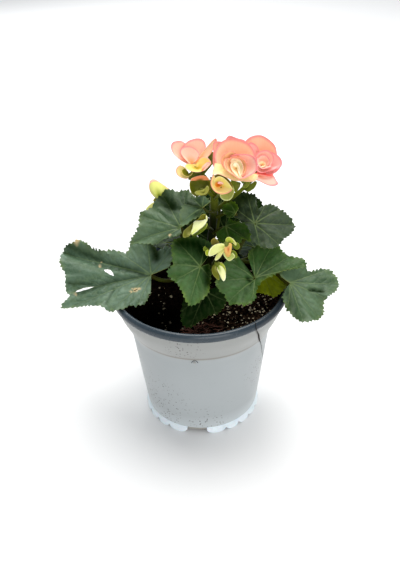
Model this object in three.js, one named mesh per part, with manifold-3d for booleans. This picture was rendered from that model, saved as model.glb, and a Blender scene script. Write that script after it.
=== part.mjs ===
// Potted begonia: a young double-flowered plant in a 13 cm nursery pot.
// Millimetres, +Z up, origin on the pot's axis where its feet stand.

import * as THREE from 'three';
import { mergeVertices } from 'three/addons/utils/BufferGeometryUtils.js';
import Module from 'manifold-3d';

const wasm = await Module();
wasm.setup();

// Driving dimensions of the pot
const RIM_RADIUS = 65;
const RIM_TOP = 110;
const COLLAR_RADIUS = 60.4;
const COLLAR_HEIGHT = 95;
const LEDGE_RADIUS = 54;
const LEDGE_HEIGHT = 81;
const LEDGE_STEP = 1.4;
const BASE_RADIUS = 43.2;
const BASE_HEIGHT = 5.2;
const FLOOR_UNDERSIDE = 2;
const FLOOR_TOP = 4.2;
const WALL = 1.4;
const POT_SIDES = 40;

// The foot ring: three groups of scallops with drainage gaps between them
const FOOT_GROUPS = 3;
const FOOT_FIRST_GAP = -96.5;
const FOOT_GAP = 20;
const FOOT_LOBES = [20, 15, 15, 15, 15, 20];
const FOOT_OUTSIDE = 44.8;
const FOOT_INSIDE = 42.2;
const FOOT_LEAN = 1.2;
const FOOT_OVERLAP = 0.4;
const FLAT_OF_LOBE = [0.3, 0.7];
const SCALLOP_RISE = 2.6;
const DRAIN_HOLES = 4;
const DRAIN_RADIUS = 4;
const DRAIN_CIRCLE = 24;
const DRAIN_FIRST = 45;
const DRAIN_SIDES = 10;

// Soil
const SOIL_TOP = 97;
const SOIL_ROUGHNESS = 1.1;
const SOIL_RINGS = [14, 28, 42, 52];
const SOIL_SIDES = 28;
const SOIL_SEED = 11;

// What grows keeps clear of what it grows on
const CLEARANCE = 0.3;

// Leaf blades
const BLADE = 1.0;
const BLADE_RINGS = 2;
const LIFT_POWER = 1.4;
const TOOTH = 0.8;
const TOOTH_SPACING = 6.5;
const LEAST_REACH = 2.5;
const LEAST_TURN = 0.006;
const BIG_LEAF = 25;

// Petals: across and along counts of the fine grid and of the plain one
const PETAL = 0.8;
const LONG_PETAL = 15;
const FINE_GRID = [4, 3];
const PLAIN_GRID = [3, 2];
const WIDEST_AT = 0.62;
const PETAL_FOOT = 0.3;

const COLOURS = {
  pot: [0xb4bbbd, 0.45],
  soil: [0x1d1712, 0.95],
  stem: [0x4f5a26, 0.6],
  leaf: [0x35502f, 0.5],
  petal: [0xf7a98c, 0.55],
  bud: [0xe3e8a0, 0.55],
};

const DEG = Math.PI / 180;

// Unit vector from a compass angle and a height angle, both in degrees
function direction(azimuth, elevation) {
  const flat = Math.cos(elevation * DEG);
  return new THREE.Vector3(
    flat * Math.cos(azimuth * DEG),
    flat * Math.sin(azimuth * DEG),
    Math.sin(elevation * DEG),
  );
}

// A small repeatable random number source
function randomSource(seed) {
  let state = seed;
  return () => {
    state = (state * 16807) % 2147483647;
    return state / 2147483647;
  };
}

// The same surface with its shared corners merged
function welded(geometry) {
  const bare = new THREE.BufferGeometry();
  bare.setAttribute('position', geometry.getAttribute('position'));
  bare.setIndex(geometry.getIndex());
  return mergeVertices(bare, 1e-4);
}

// Solids: closed geometry in, joined or cut geometry out
function toSolid(geometry) {
  const merged = welded(geometry);
  const vertProperties = new Float32Array(merged.getAttribute('position').array);
  const corners = Array.from(merged.getIndex().array);
  const kept = [];
  for (let i = 0; i < corners.length; i += 3) {
    const [a, b, c] = corners.slice(i, i + 3);
    if (a !== b && b !== c && c !== a) kept.push(a, b, c);
  }
  const build = (order) => new wasm.Manifold(
    new wasm.Mesh({ numProp: 3, vertProperties, triVerts: new Uint32Array(order) }));
  const solid = build(kept);
  if (solid.volume() > 0) return solid;
  const turned = [];
  for (let i = 0; i < kept.length; i += 3) turned.push(kept[i], kept[i + 2], kept[i + 1]);
  return build(turned);
}

function toGeometry(solid) {
  const mesh = solid.getMesh();
  const geometry = new THREE.BufferGeometry();
  geometry.setAttribute('position', new THREE.BufferAttribute(mesh.vertProperties, 3));
  geometry.setIndex(new THREE.BufferAttribute(mesh.triVerts, 1));
  geometry.computeVertexNormals();
  return geometry;
}

// Only the largest body of a cut is kept, so no loose scraps stay behind
function largestBody(solid) {
  return solid.decompose().reduce((best, next) => (next.volume() > best.volume() ? next : best));
}

function union(solids) {
  return solids.reduce((sum, next) => sum.add(next));
}

// A thin closed sheet: the same triangles on both faces, joined round the border
function slab(front, back, triangles, border) {
  const count = front.length;
  const index = [];
  for (const [a, b, c] of triangles) {
    index.push(a, b, c);
    index.push(count + a, count + c, count + b);
  }
  border.forEach((a, i) => {
    const b = border[(i + 1) % border.length];
    index.push(a, count + b, b);
    index.push(a, count + a, count + b);
  });
  const geometry = new THREE.BufferGeometry().setFromPoints([...front, ...back]);
  geometry.setIndex(index);
  return toSolid(geometry);
}

// A round shoot along a smooth path
function shoot(points, radius, sides, steps) {
  const outline = new THREE.Shape();
  for (let i = 0; i < sides; i += 1) {
    const turn = (i / sides) * 2 * Math.PI;
    const corner = [radius * Math.cos(turn), radius * Math.sin(turn)];
    if (i === 0) outline.moveTo(...corner);
    else outline.lineTo(...corner);
  }
  const path = new THREE.CatmullRomCurve3(points.map((p) => new THREE.Vector3(...p)), false, 'centripetal');
  const options = { steps, bevelEnabled: false, extrudePath: path };
  return toSolid(new THREE.ExtrudeGeometry(outline, options));
}

// Pot: one moulded shell with a rolled rim, a flared collar and scalloped feet
function potShell() {
  const underside = [
    [0, FLOOR_UNDERSIDE],
    [BASE_RADIUS - 1.7, FLOOR_UNDERSIDE],
  ];
  const wall = [
    [BASE_RADIUS - 1.7, BASE_HEIGHT - 0.6],
    [BASE_RADIUS - 0.7, BASE_HEIGHT - 0.4],
    [BASE_RADIUS, BASE_HEIGHT + 0.6],
    [BASE_RADIUS + 0.5, BASE_HEIGHT + 3],
    [LEDGE_RADIUS - LEDGE_STEP, LEDGE_HEIGHT - 1],
    [LEDGE_RADIUS, LEDGE_HEIGHT],
    [COLLAR_RADIUS, COLLAR_HEIGHT],
  ];
  const rim = [
    [RIM_RADIUS - 3, RIM_TOP - 7.5],
    [RIM_RADIUS - 0.6, RIM_TOP - 5.2],
    [RIM_RADIUS, RIM_TOP - 3.8],
    [RIM_RADIUS - 0.7, RIM_TOP - 1.4],
    [RIM_RADIUS - 2.3, RIM_TOP],
    [RIM_RADIUS - 4, RIM_TOP - 0.6],
    [RIM_RADIUS - 4.8, RIM_TOP - 3],
  ];
  const inside = [
    [COLLAR_RADIUS - WALL, COLLAR_HEIGHT],
    [LEDGE_RADIUS - LEDGE_STEP - WALL, LEDGE_HEIGHT - 1],
    [BASE_RADIUS - WALL, BASE_HEIGHT + 2.5],
    [0, FLOOR_TOP],
  ];
  const profile = [...underside, ...wall, ...rim, ...inside, underside[0]];
  const points = profile.map(([r, z]) => new THREE.Vector2(r, z));
  const lathe = new THREE.LatheGeometry(points, POT_SIDES);
  lathe.rotateX(Math.PI / 2);
  return toSolid(lathe);
}

// One group of foot scallops: a curved wall whose lower edge rises between the lobes
function footGroup(start) {
  const front = [];
  const back = [];
  const top = BASE_HEIGHT + FOOT_OVERLAP;
  const [flatStart, flatEnd] = FLAT_OF_LOBE;
  let angle = start;
  const stations = [];
  for (const lobe of FOOT_LOBES) {
    stations.push([angle, SCALLOP_RISE], [angle + flatStart * lobe, 0], [angle + flatEnd * lobe, 0]);
    angle += lobe;
  }
  stations.push([angle, SCALLOP_RISE]);
  for (const [turn, rise] of stations) {
    for (const [radius, list] of [[FOOT_OUTSIDE, front], [FOOT_INSIDE, back]]) {
      const outward = direction(turn, 0);
      list.push(outward.clone().multiplyScalar(radius).setZ(rise));
      list.push(outward.clone().multiplyScalar(radius - FOOT_LEAN).setZ(top));
    }
  }
  const triangles = [];
  const last = stations.length - 1;
  for (let i = 0; i < last; i += 1) {
    triangles.push([2 * i, 2 * i + 2, 2 * i + 3], [2 * i, 2 * i + 3, 2 * i + 1]);
  }
  const border = [];
  for (let i = 0; i <= last; i += 1) border.push(2 * i);
  for (let i = last; i >= 0; i -= 1) border.push(2 * i + 1);
  return slab(front, back, triangles, border);
}

function potSolid() {
  let pot = potShell();
  for (let group = 0; group < FOOT_GROUPS; group += 1) {
    pot = pot.add(footGroup(FOOT_FIRST_GAP + FOOT_GAP / 2 + (group * 360) / FOOT_GROUPS));
  }
  for (let hole = 0; hole < DRAIN_HOLES; hole += 1) {
    const drill = new THREE.CylinderGeometry(DRAIN_RADIUS, DRAIN_RADIUS, 3 * FLOOR_TOP, DRAIN_SIDES);
    drill.rotateX(Math.PI / 2);
    const place = direction(DRAIN_FIRST + (hole * 360) / DRAIN_HOLES, 0).multiplyScalar(DRAIN_CIRCLE);
    drill.translate(place.x, place.y, 0);
    pot = pot.subtract(toSolid(drill));
  }
  return pot;
}

// Soil: fills the pot to just under its rim, with an uneven crumbly top
function soilSolid() {
  const gap = CLEARANCE + 0.2;
  const below = [
    [0, FLOOR_TOP + gap],
    [BASE_RADIUS - WALL - gap - 0.6, BASE_HEIGHT + 2.5 + gap],
    [LEDGE_RADIUS - LEDGE_STEP - WALL - gap, LEDGE_HEIGHT - 1],
    [LEDGE_RADIUS - 1.2 - WALL, LEDGE_HEIGHT + 1.5],
  ];
  const edge = COLLAR_RADIUS - WALL - gap - 0.2;
  const top = [edge, ...SOIL_RINGS.toReversed(), 0].map((radius) => [radius, SOIL_TOP]);
  const profile = [...below, ...top].map(([r, z]) => new THREE.Vector2(r, z));
  const lathe = new THREE.LatheGeometry(profile, SOIL_SIDES);
  lathe.rotateX(Math.PI / 2);
  const merged = welded(lathe);
  const position = merged.getAttribute('position');
  const random = randomSource(SOIL_SEED);
  for (let i = 0; i < position.count; i += 1) {
    const inner = Math.hypot(position.getX(i), position.getY(i)) < edge - 1;
    const level = position.getZ(i);
    const bump = (random() - 0.5) * 2 * SOIL_ROUGHNESS;
    if (inner && Math.abs(level - SOIL_TOP) < 0.01) position.setZ(i, level + bump);
  }
  return toSolid(merged);
}

// Stems, flower stalks and bud stalks grow as one branching body
const STEM_RADIUS = 3;
const BRANCH_RADIUS = 2.2;
const STALK_RADIUS = 1.5;
const THIN_RADIUS = 1.1;
const THICK_SIDES = 7;
const THIN_SIDES = 5;
const SHOOTS = [
  [STEM_RADIUS, [3, 5, 80], [5, 5, 110], [8, 5, 135], [10.5, 4, 155], [12, 4, 179]],
  [BRANCH_RADIUS, [4, 5, 100], [1, 1, 116], [-3, -3, 130], [-6, -6, 143]],
  [BRANCH_RADIUS, [4, 5, 102], [14, 4, 114], [22, 2, 124], [28, 1, 137]],
  [BRANCH_RADIUS, [4, 5, 98], [3, 15, 106], [1, 25, 112]],
  [STALK_RADIUS, [12, 4, 177], [9, 3, 188], [4, 1, 196], [-1, 0, 201]],
  [STALK_RADIUS, [12, 4, 175], [16, 3, 187], [22, 0, 197], [25, -3, 202]],
  [STALK_RADIUS, [11.5, 4, 166], [20, 6, 172], [31, 5, 182], [39, 5, 191], [42, 5, 195]],
  [THIN_RADIUS, [9, 3, 188], [2, 0, 192], [-5, -2, 195]],
  [THIN_RADIUS, [12, 4, 176], [8, -2, 184], [4, -7, 187.5]],
  [THIN_RADIUS, [12, 4, 175], [14, -6, 183], [16, -13, 187]],
  [THIN_RADIUS, [6, 5, 118], [-2, 17, 134], [-12, 25, 150], [-19, 27, 160]],
  [THIN_RADIUS, [10, 4, 150], [10, -8, 158], [7, -18, 166], [3, -24, 169]],
  [THIN_RADIUS, [8, 5, 138], [11, -10, 146], [15, -24, 152], [19, -32, 161], [19, -34, 164]],
  [THIN_RADIUS, [15, -24, 152], [13, -32, 154], [12, -36, 150]],
];

function stemSolid(extra) {
  return union(SHOOTS.map(([radius, ...points]) => {
    const sides = radius > STALK_RADIUS ? THICK_SIDES : THIN_SIDES;
    return shoot(points, radius + extra, sides, points.length + 2);
  }));
}

// Leaves. Each margin point is [angle, reach, lift]: degrees round from the heading,
// millimetres out from the stalk's end, and millimetres off the leaf's own plane.
// facing is [lean from level, compass angle it leans to, compass heading of its tip].
const LEAVES = {
  leaf_left_large: {
    at: [-34, -12, 126],
    facing: [27, -105, 178],
    stalk: [[-26, -10, 119], [-12, -6, 118], [0, 0, 118]],
    margin: [
      [-172, 14, 4], [-142, 22, 7], [-119, 22, 4], [-103, 20, 0], [-85, 25, 5], [-43, 24, 4],
      [-30, 36, 5], [-27, 60, 6], [-21, 73, -3], [-14, 70, 2], [3, 62, 0], [12, 60, -3], [18, 68, -3],
      [24, 53, -1], [32, 40, -1], [44, 38, -2], [61, 28, -1], [82, 23, -1], [92, 13, 0],
    ],
  },
  leaf_left_upper: {
    at: [-12, -6, 160],
    facing: [34, -112, 168],
    stalk: [[-11, -7, 153], [-8, -7, 146], [-5, -6, 141]],
    margin: [
      [-140, 9, 0], [-121, 17, 0], [-104, 25, -1], [-90, 30, -2], [-75, 30, -2], [-62, 34, -2],
      [-52, 32, -1], [-33, 28, 0], [-15, 32, 1], [3, 30, 0], [17, 38, -4], [26, 30, -2], [37, 22, -1],
      [52, 10, 0],
    ],
  },
  leaf_front_small: {
    at: [3, -22, 184],
    facing: [38, -120, 153],
    stalk: [[6, -17, 178], [10, -6, 171], [12, 3, 166]],
    margin: [
      [-138, 7, 0], [-82, 8, -1], [-38, 10, -1], [-12, 11, 1], [9, 11, 4], [37, 16, 0], [58, 18, -3],
      [75, 10, -1], [100, 6, 0], [140, 6, 0],
    ],
  },
  leaf_front_centre: {
    at: [1, -30, 143],
    facing: [42, -95, -110],
    stalk: [[2, -24, 134], [3, -12, 126], [2, 1, 119]],
    margin: [
      [-198, 9, 1], [-185, 17, 2], [-157, 20, 0], [-134, 22, 2], [-113, 26, 1], [-96, 22, 2],
      [-71, 19, 1], [-60, 23, -3], [-23, 20, -1], [-2, 25, -1], [9, 28, 0], [27, 23, 0], [40, 19, 0],
      [50, 14, 0], [88, 8, 0], [128, 6, 0],
    ],
  },
  leaf_right_centre: {
    at: [39, -20, 126],
    facing: [24, -95, 9],
    stalk: [[34, -13, 118], [26, -4, 119], [20, 3, 122]],
    margin: [
      [-246, 20, 2], [-221, 24, 1], [-181, 28, 0], [-157, 27, -1], [-141, 26, -3], [-116, 21, -3],
      [-102, 16, -3], [-90, 8, -1], [-55, 6, 0], [-22, 14, 0], [-17, 24, -1], [-12, 29, 0], [-6, 34, 0],
      [3, 39, 0], [14, 37, 0], [28, 28, 1], [45, 30, 3], [67, 25, 3], [88, 22, 3], [97, 16, 2],
    ],
  },
  leaf_right_outer: {
    at: [64.5, -17, 119],
    facing: [34, -62, 1],
    stalk: [[56, -8, 120], [46, 2, 122], [34, 4, 124], [24, 2, 127]],
    margin: [
      [-128, 6, 0], [-119, 13, -3], [-104, 17, -3], [-86, 26, 0], [-76, 31, 1], [-62, 31, 0],
      [-48, 31, -2], [-29, 26, 0], [-20, 27, 2], [-9, 33, 2], [7, 40, 0], [17, 35, 0], [26, 30, -1],
      [33, 19, 0], [54, 16, 0], [76, 9, 0],
    ],
  },
  leaf_right_under: {
    at: [45, -3, 120],
    facing: [38, -80, -60],
    stalk: [[40, 0, 113], [30, 4, 112], [16, 5, 112]],
    margin: [
      [-88, 8, 0], [-63, 16, -1], [-38, 17, 0], [-20, 19, 0], [-8, 21, -1], [8, 20, 0], [28, 17, 0],
      [52, 10, 0],
    ],
  },
  leaf_right_upper: {
    at: [40, 2, 157],
    facing: [36, -75, 3],
    stalk: [[38, 4, 150], [33, 4, 143], [28, 1, 135]],
    margin: [
      [-140, 8, 0], [-108, 14, 0], [-83, 18, 0], [-63, 22, -1], [-43, 22, -1], [-30, 22, -1],
      [-18, 26, -2], [-2, 30, -3], [12, 25, 0], [27, 21, 1], [55, 16, 1], [75, 14, -2], [85, 19, 3],
      [97, 22, 4], [112, 24, 3], [127, 24, 2], [141, 22, 1], [153, 20, 0], [163, 14, 0], [176, 6, 0],
    ],
  },
  leaf_small_inner: {
    at: [26, -8, 171],
    facing: [40, -100, 159],
    stalk: [[25, -4, 168], [20, 1, 166], [13, 3, 162]],
    margin: [[-108, 4, 0], [-68, 8, 1], [-35, 10, 0], [-7, 10, -2], [31, 6, -1], [77, 4, 0]],
  },
  leaf_middle_dark: {
    at: [19, -9, 162],
    facing: [38, -85, -23],
    stalk: [[16, -4, 157], [13, 0, 153], [10, 3, 149]],
    margin: [
      [-91, 8, 0], [-62, 13, -1], [-33, 16, -1], [-22, 15, 0], [-14, 20, -2], [7, 16, 0], [27, 12, 2],
      [45, 7, 0], [83, 6, 1],
    ],
  },
  leaf_low_front: {
    at: [4, -31, 123],
    facing: [30, -95, -113],
    stalk: [[4, -24, 114], [4, -10, 106], [4, 3, 102]],
    margin: [
      [-93, 8, 0], [-56, 14, 0], [-30, 20, 0], [-12, 28, -1], [0, 28, -3], [24, 19, -2], [63, 18, -1],
      [87, 16, 0], [131, 8, 0],
    ],
  },
  leaf_right_back: {
    at: [35, 14, 158],
    facing: [42, -70, 38],
    stalk: [[33, 14, 151], [29, 9, 143], [26, 3, 134]],
    margin: [[-70, 5, 0], [-11, 12, 0], [8, 15, 0], [22, 16, 0], [40, 12, 0], [79, 10, 0], [118, 8, 0]],
  },
};

// Leaves behind the stems share one seven-lobed outline, scaled
const BACK_OUTLINE = [
  [-155, 12, 0], [-128, 21, 1], [-104, 19, -1], [-78, 27, 1], [-54, 23, -1], [-30, 31, 0],
  [-15, 28, -1], [2, 37, -2], [20, 29, -1], [36, 31, 0], [58, 23, -1], [80, 26, 1], [106, 18, -1],
  [130, 20, 1], [156, 11, 0],
];
const BACK_LEAVES = {
  leaf_back_left: [[-25, 28, 128], [16, 120, 146], 0.68, [[-19, 23, 122], [-8, 19, 116], [2, 16, 107]]],
  leaf_back_middle: [[-8, 38, 118], [8, 100, 112], 0.8, [[-5, 33, 113], [-1, 27, 112], [1, 22, 110]]],
  leaf_back_right: [[28, 35, 117], [8, 60, 58], 0.78, [[20, 31, 112], [10, 24, 110], [3, 18, 107]]],
  leaf_back_far_right: [[42, 19, 127], [16, 20, 32], 0.66, [[37, 15, 121], [28, 11, 120], [18, 6, 117]]],
  leaf_behind_upper: [[16, 24, 160], [40, -90, 95], 0.66, [[16, 24, 152], [14, 18, 144], [8, 6, 135]]],
  leaf_behind_lower: [[20, 23, 140], [36, -90, 80], 0.56, [[19, 22, 132], [15, 16, 124], [7, 6, 116]]],
  leaf_behind_left: [[-2, 29, 136], [36, -90, 92], 0.62, [[-1, 27, 128], [1, 18, 120], [4, 7, 112]]],
};
for (const [name, [at, facing, scale, stalk]] of Object.entries(BACK_LEAVES)) {
  const margin = BACK_OUTLINE.map(([angle, reach, lift]) => [angle, reach * scale, lift * scale]);
  LEAVES[name] = { at, facing, stalk, margin };
}

// The leaf's own axes: along its heading, across it, and its upper normal
function leafAxes([lean, leanTo, heading]) {
  const normal = direction(leanTo, 90 - lean);
  const level = direction(heading, 0);
  const along = level.addScaledVector(normal, -level.dot(normal)).normalize();
  return [along, normal.clone().cross(along), normal];
}

// The toothed margin, sampled by arc length between the given points
function toothedMargin(margin) {
  const knots = margin.map(([angle, reach, lift]) => new THREE.Vector3(
    reach * Math.cos(angle * DEG), reach * Math.sin(angle * DEG), lift));
  const curve = new THREE.CatmullRomCurve3(knots, false, 'centripetal');
  const samples = [];
  for (let i = 0; i < knots.length - 1; i += 1) {
    const parts = Math.max(1, Math.round(knots[i].distanceTo(knots[i + 1]) / TOOTH_SPACING));
    for (let k = 0; k < parts; k += 1) samples.push(curve.getPoint((i + k / parts) / (knots.length - 1)));
  }
  samples.push(knots[knots.length - 1]);
  let least = -Infinity;
  return samples.map((point, i) => {
    const reach = Math.hypot(point.x, point.y);
    let turn = Math.atan2(point.y, point.x);
    while (turn < least - Math.PI / 3) turn += 2 * Math.PI;
    if (i === 0) turn = margin[0][0] * DEG;
    turn = Math.max(turn, least + LEAST_TURN);
    least = turn;
    const tooth = i % 2 === 0 ? TOOTH : -TOOTH;
    const edge = Math.max(reach + tooth, LEAST_REACH);
    return new THREE.Vector3(edge * Math.cos(turn), edge * Math.sin(turn), point.z);
  });
}

function bladeSolid(leaf) {
  const [along, across, normal] = leafAxes(leaf.facing);
  const base = new THREE.Vector3(...leaf.at);
  const place = (x, y, z) => base.clone()
    .addScaledVector(along, x).addScaledVector(across, y).addScaledVector(normal, z);
  const edge = toothedMargin(leaf.margin);
  const top = [place(0, 0, 0)];
  for (let ring = 1; ring <= BLADE_RINGS; ring += 1) {
    const part = ring / BLADE_RINGS;
    for (const point of edge) {
      top.push(place(point.x * part, point.y * part, point.z * part ** LIFT_POWER));
    }
  }
  const under = top.map((point) => point.clone().addScaledVector(normal, -BLADE));
  const count = edge.length;
  const at = (ring, i) => (ring === 0 ? 0 : 1 + (ring - 1) * count + i);
  const triangles = [];
  for (let i = 0; i < count - 1; i += 1) {
    triangles.push([0, at(1, i), at(1, i + 1)]);
    for (let ring = 1; ring < BLADE_RINGS; ring += 1) {
      triangles.push([at(ring, i), at(ring + 1, i), at(ring + 1, i + 1)]);
      triangles.push([at(ring, i), at(ring + 1, i + 1), at(ring, i + 1)]);
    }
  }
  const border = [0];
  for (let ring = 1; ring < BLADE_RINGS; ring += 1) border.push(at(ring, 0));
  for (let i = 0; i < count; i += 1) border.push(at(BLADE_RINGS, i));
  for (let ring = BLADE_RINGS - 1; ring > 0; ring -= 1) border.push(at(ring, count - 1));
  return slab(top, under, triangles, border);
}

// A leaf is its blade with its stalk, cut just clear of the stem that it grows on
function leafSolid(leaf, clearing) {
  const [along, , normal] = leafAxes(leaf.facing);
  const base = new THREE.Vector3(...leaf.at);
  const sunk = base.clone().addScaledVector(along, 1).addScaledVector(normal, -0.4);
  const neck = base.clone().addScaledVector(normal, -3);
  const big = leaf.margin.some(([, reach]) => reach > BIG_LEAF);
  const path = [sunk.toArray(), neck.toArray(), ...leaf.stalk];
  const stalk = shoot(path, big ? STALK_RADIUS : THIN_RADIUS, THIN_SIDES, path.length + 2);
  return largestBody(bladeSolid(leaf).add(stalk).subtract(clearing));
}

// Petals. u runs across from -1 to 1 and v from the base to the tip.
// open is the angle off the bloom's axis at base and tip, cup the half arc across.
function petalPoint(form, u, v) {
  const [start, end] = form.open.map((angle) => angle * DEG);
  const slope = end - start || 1e-3;
  const reach = form.long * v * (1 - form.round * (1 - Math.sqrt(1 - 0.98 * u * u)));
  const share = reach / form.long;
  const angle = start + slope * share;
  const out = form.off + (form.long / slope) * (Math.cos(start) - Math.cos(angle));
  const up = (form.long / slope) * (Math.sin(angle) - Math.sin(start));
  const widen = Math.sin((Math.PI / 2) * Math.min(1, share / WIDEST_AT));
  const half = (form.wide / 2) * (PETAL_FOOT + (1 - PETAL_FOOT) * widen);
  const side = (half / form.cup) * Math.sin(form.cup * u);
  const deep = (half / form.cup) * (1 - Math.cos(form.cup * u));
  return [out - deep * Math.cos(angle), side, up + deep * Math.sin(angle)];
}

function petalSolid(form, columns, rows) {
  const points = [];
  for (let j = 0; j <= rows; j += 1) {
    for (let i = 0; i <= columns; i += 1) {
      points.push(new THREE.Vector3(...petalPoint(form, (2 * i) / columns - 1, j / rows)));
    }
  }
  const at = (i, j) => j * (columns + 1) + i;
  const triangles = [];
  for (let j = 0; j < rows; j += 1) {
    for (let i = 0; i < columns; i += 1) {
      triangles.push([at(i, j), at(i + 1, j), at(i + 1, j + 1)]);
      triangles.push([at(i, j), at(i + 1, j + 1), at(i, j + 1)]);
    }
  }
  const border = [];
  for (let i = 0; i < columns; i += 1) border.push(at(i, 0));
  for (let j = 0; j < rows; j += 1) border.push(at(columns, j));
  for (let i = columns; i > 0; i -= 1) border.push(at(i, rows));
  for (let j = rows; j > 0; j -= 1) border.push(at(0, j));
  const sheet = new THREE.BufferGeometry().setFromPoints(points);
  sheet.setIndex(triangles.flat());
  sheet.computeVertexNormals();
  const normals = sheet.getAttribute('normal');
  const back = points.map((point, i) => point.clone().addScaledVector(
    new THREE.Vector3().fromBufferAttribute(normals, i), -PETAL));
  const solid = slab(points, back, triangles, border);
  return solid.rotate([0, 0, 180 + form.turn / DEG]);
}

// Blooms and buds: petals fused to a small core that sits on its stalk
const petal = (turn, open, long, wide, cup, off = 1) => (
  { turn: turn * DEG, open, long, wide, cup, off, round: 0.42 });

const BLOOMS = {
  bloom_left: {
    at: [-0.4, 0, 202.8], axis: [180, 84], core: 3.2,
    petals: [
      petal(6, [40, 30], 22, 15, 0.7), petal(92, [24, 16], 18, 19, 0.6),
      petal(176, [50, 32], 21, 19, 0.6), petal(262, [84, 118], 11, 19, 0.8, 2),
    ],
  },
  bloom_centre: {
    at: [25.3, -6, 204.6], axis: [-92, 38], core: 6.4,
    petals: [
      petal(35, [34, 12], 16, 15, 1.1), petal(125, [30, 6], 15, 14, 1.1),
      petal(215, [30, 6], 15, 14, 1.1), petal(310, [34, 12], 16, 15, 1.1),
      petal(12, [52, 48], 23, 24, 0.7), petal(78, [48, 40], 20, 22, 0.8), petal(148, [40, 26], 16, 19, 0.8),
      petal(212, [42, 28], 16, 19, 0.8), petal(285, [48, 42], 20, 22, 0.8),
      petal(178, [66, 66], 14, 26, 0.6),
    ],
  },
  bloom_right: {
    at: [41.5, 5, 199], axis: [-66, 40], core: 5.6,
    petals: [
      petal(350, [46, 40], 22, 22, 0.8), petal(60, [50, 44], 19, 19, 0.8),
      petal(126, [60, 66], 17, 17, 0.7), petal(200, [62, 74], 19, 18, 0.6),
      petal(285, [50, 42], 18, 19, 0.8),
    ],
  },
};

const BUDS = {
  bud_left_low: {
    at: [-6, -2, 196.5], axis: [160, 48], core: 2.2,
    petals: [petal(0, [40, -10], 11, 14, 1.0), petal(180, [40, -10], 11, 14, 1.0)],
  },
  bud_left: {
    at: [3.2, -8.5, 188.5], axis: [-110, 70], core: 2.6,
    petals: [petal(0, [44, -25], 13, 15, 1.2), petal(180, [48, -30], 13, 15, 1.2)],
  },
  bud_centre: {
    at: [16.3, -15, 189.2], axis: [-95, 44], core: 2.8,
    petals: [
      petal(0, [44, -14], 14, 17, 1.1), petal(180, [48, -10], 13, 17, 1.1),
      petal(90, [24, -24], 11, 10, 1.3), petal(190, [84, 96], 13, 11, 0.6),
    ],
  },
  bud_far_left: {
    at: [-21.5, 27.3, 161.8], axis: [165, 62], core: 2.4,
    petals: [petal(90, [28, -14], 18, 16, 0.9), petal(270, [28, -14], 17, 16, 0.9)],
  },
  bud_front_large: {
    at: [5, -26, 171.5], axis: [195, -20], core: 2.2,
    petals: [petal(0, [50, -20], 15, 13, 0.9), petal(180, [40, -20], 15, 12, 1.0)],
  },
  bud_front_open: {
    at: [17, -35.5, 163.5], axis: [-110, -62], core: 1.8,
    petals: [
      petal(120, [66, 60], 14, 9, 0.9), petal(180, [20, 0], 11, 8, 1.2), petal(-60, [30, 60], 11, 8, 0.8),
    ],
  },
  bud_front_drop: {
    at: [12.2, -37.3, 149], axis: [-30, -70], core: 1.6,
    petals: [petal(0, [26, -24], 14, 7, 1.3), petal(180, [26, -24], 13, 7, 1.3)],
  },
};

// Large petals get a finer grid than the small ones round the heart
function flowerSolid(flower, clearing) {
  const core = new THREE.SphereGeometry(flower.core, 6, 5);
  core.rotateX(Math.PI / 2);
  core.scale(0.8, 0.8, 1.2);
  core.translate(0, 0, flower.core * 0.8);
  const parts = flower.petals.map((each) => (
    petalSolid(each, ...(each.long > LONG_PETAL ? FINE_GRID : PLAIN_GRID))));
  const [azimuth, elevation] = flower.axis;
  const joined = union([toSolid(core), ...parts]);
  const turned = joined.rotate([0, 90 - elevation, 0]).rotate([0, 0, azimuth]);
  return largestBody(turned.translate(flower.at).subtract(clearing));
}

// The whole plant in its pot
const plant = new THREE.Group();

function addNode(name, solid, [colour, roughness]) {
  const material = new THREE.MeshStandardMaterial({ color: colour, roughness, metalness: 0 });
  const mesh = new THREE.Mesh(toGeometry(solid), material);
  mesh.name = name;
  plant.add(mesh);
}

const stems = stemSolid(0);
const clearing = stemSolid(CLEARANCE);
addNode('pot', potSolid(), COLOURS.pot);
addNode('soil', largestBody(soilSolid().subtract(clearing)), COLOURS.soil);
addNode('stems', stems, COLOURS.stem);
for (const [name, leaf] of Object.entries(LEAVES)) {
  addNode(name, leafSolid(leaf, clearing), COLOURS.leaf);
}
for (const [name, bloom] of Object.entries(BLOOMS)) {
  addNode(name, flowerSolid(bloom, clearing), COLOURS.petal);
}
for (const [name, bud] of Object.entries(BUDS)) {
  addNode(name, flowerSolid(bud, clearing), COLOURS.bud);
}

export default plant;
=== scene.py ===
"""Potted begonia: the finished look of the plant and its pot, laid out as a Blender add-on.

Tables are in millimetres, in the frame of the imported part. Leaf margins and petals are given in a plane of
their own. Everything that reaches Blender is in metres.
"""

import math

import bpy
import numpy as np
from bpy.props import FloatProperty, FloatVectorProperty, IntProperty, PointerProperty
from mathutils import Matrix, Vector
from mathutils.geometry import delaunay_2d_cdt


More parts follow.
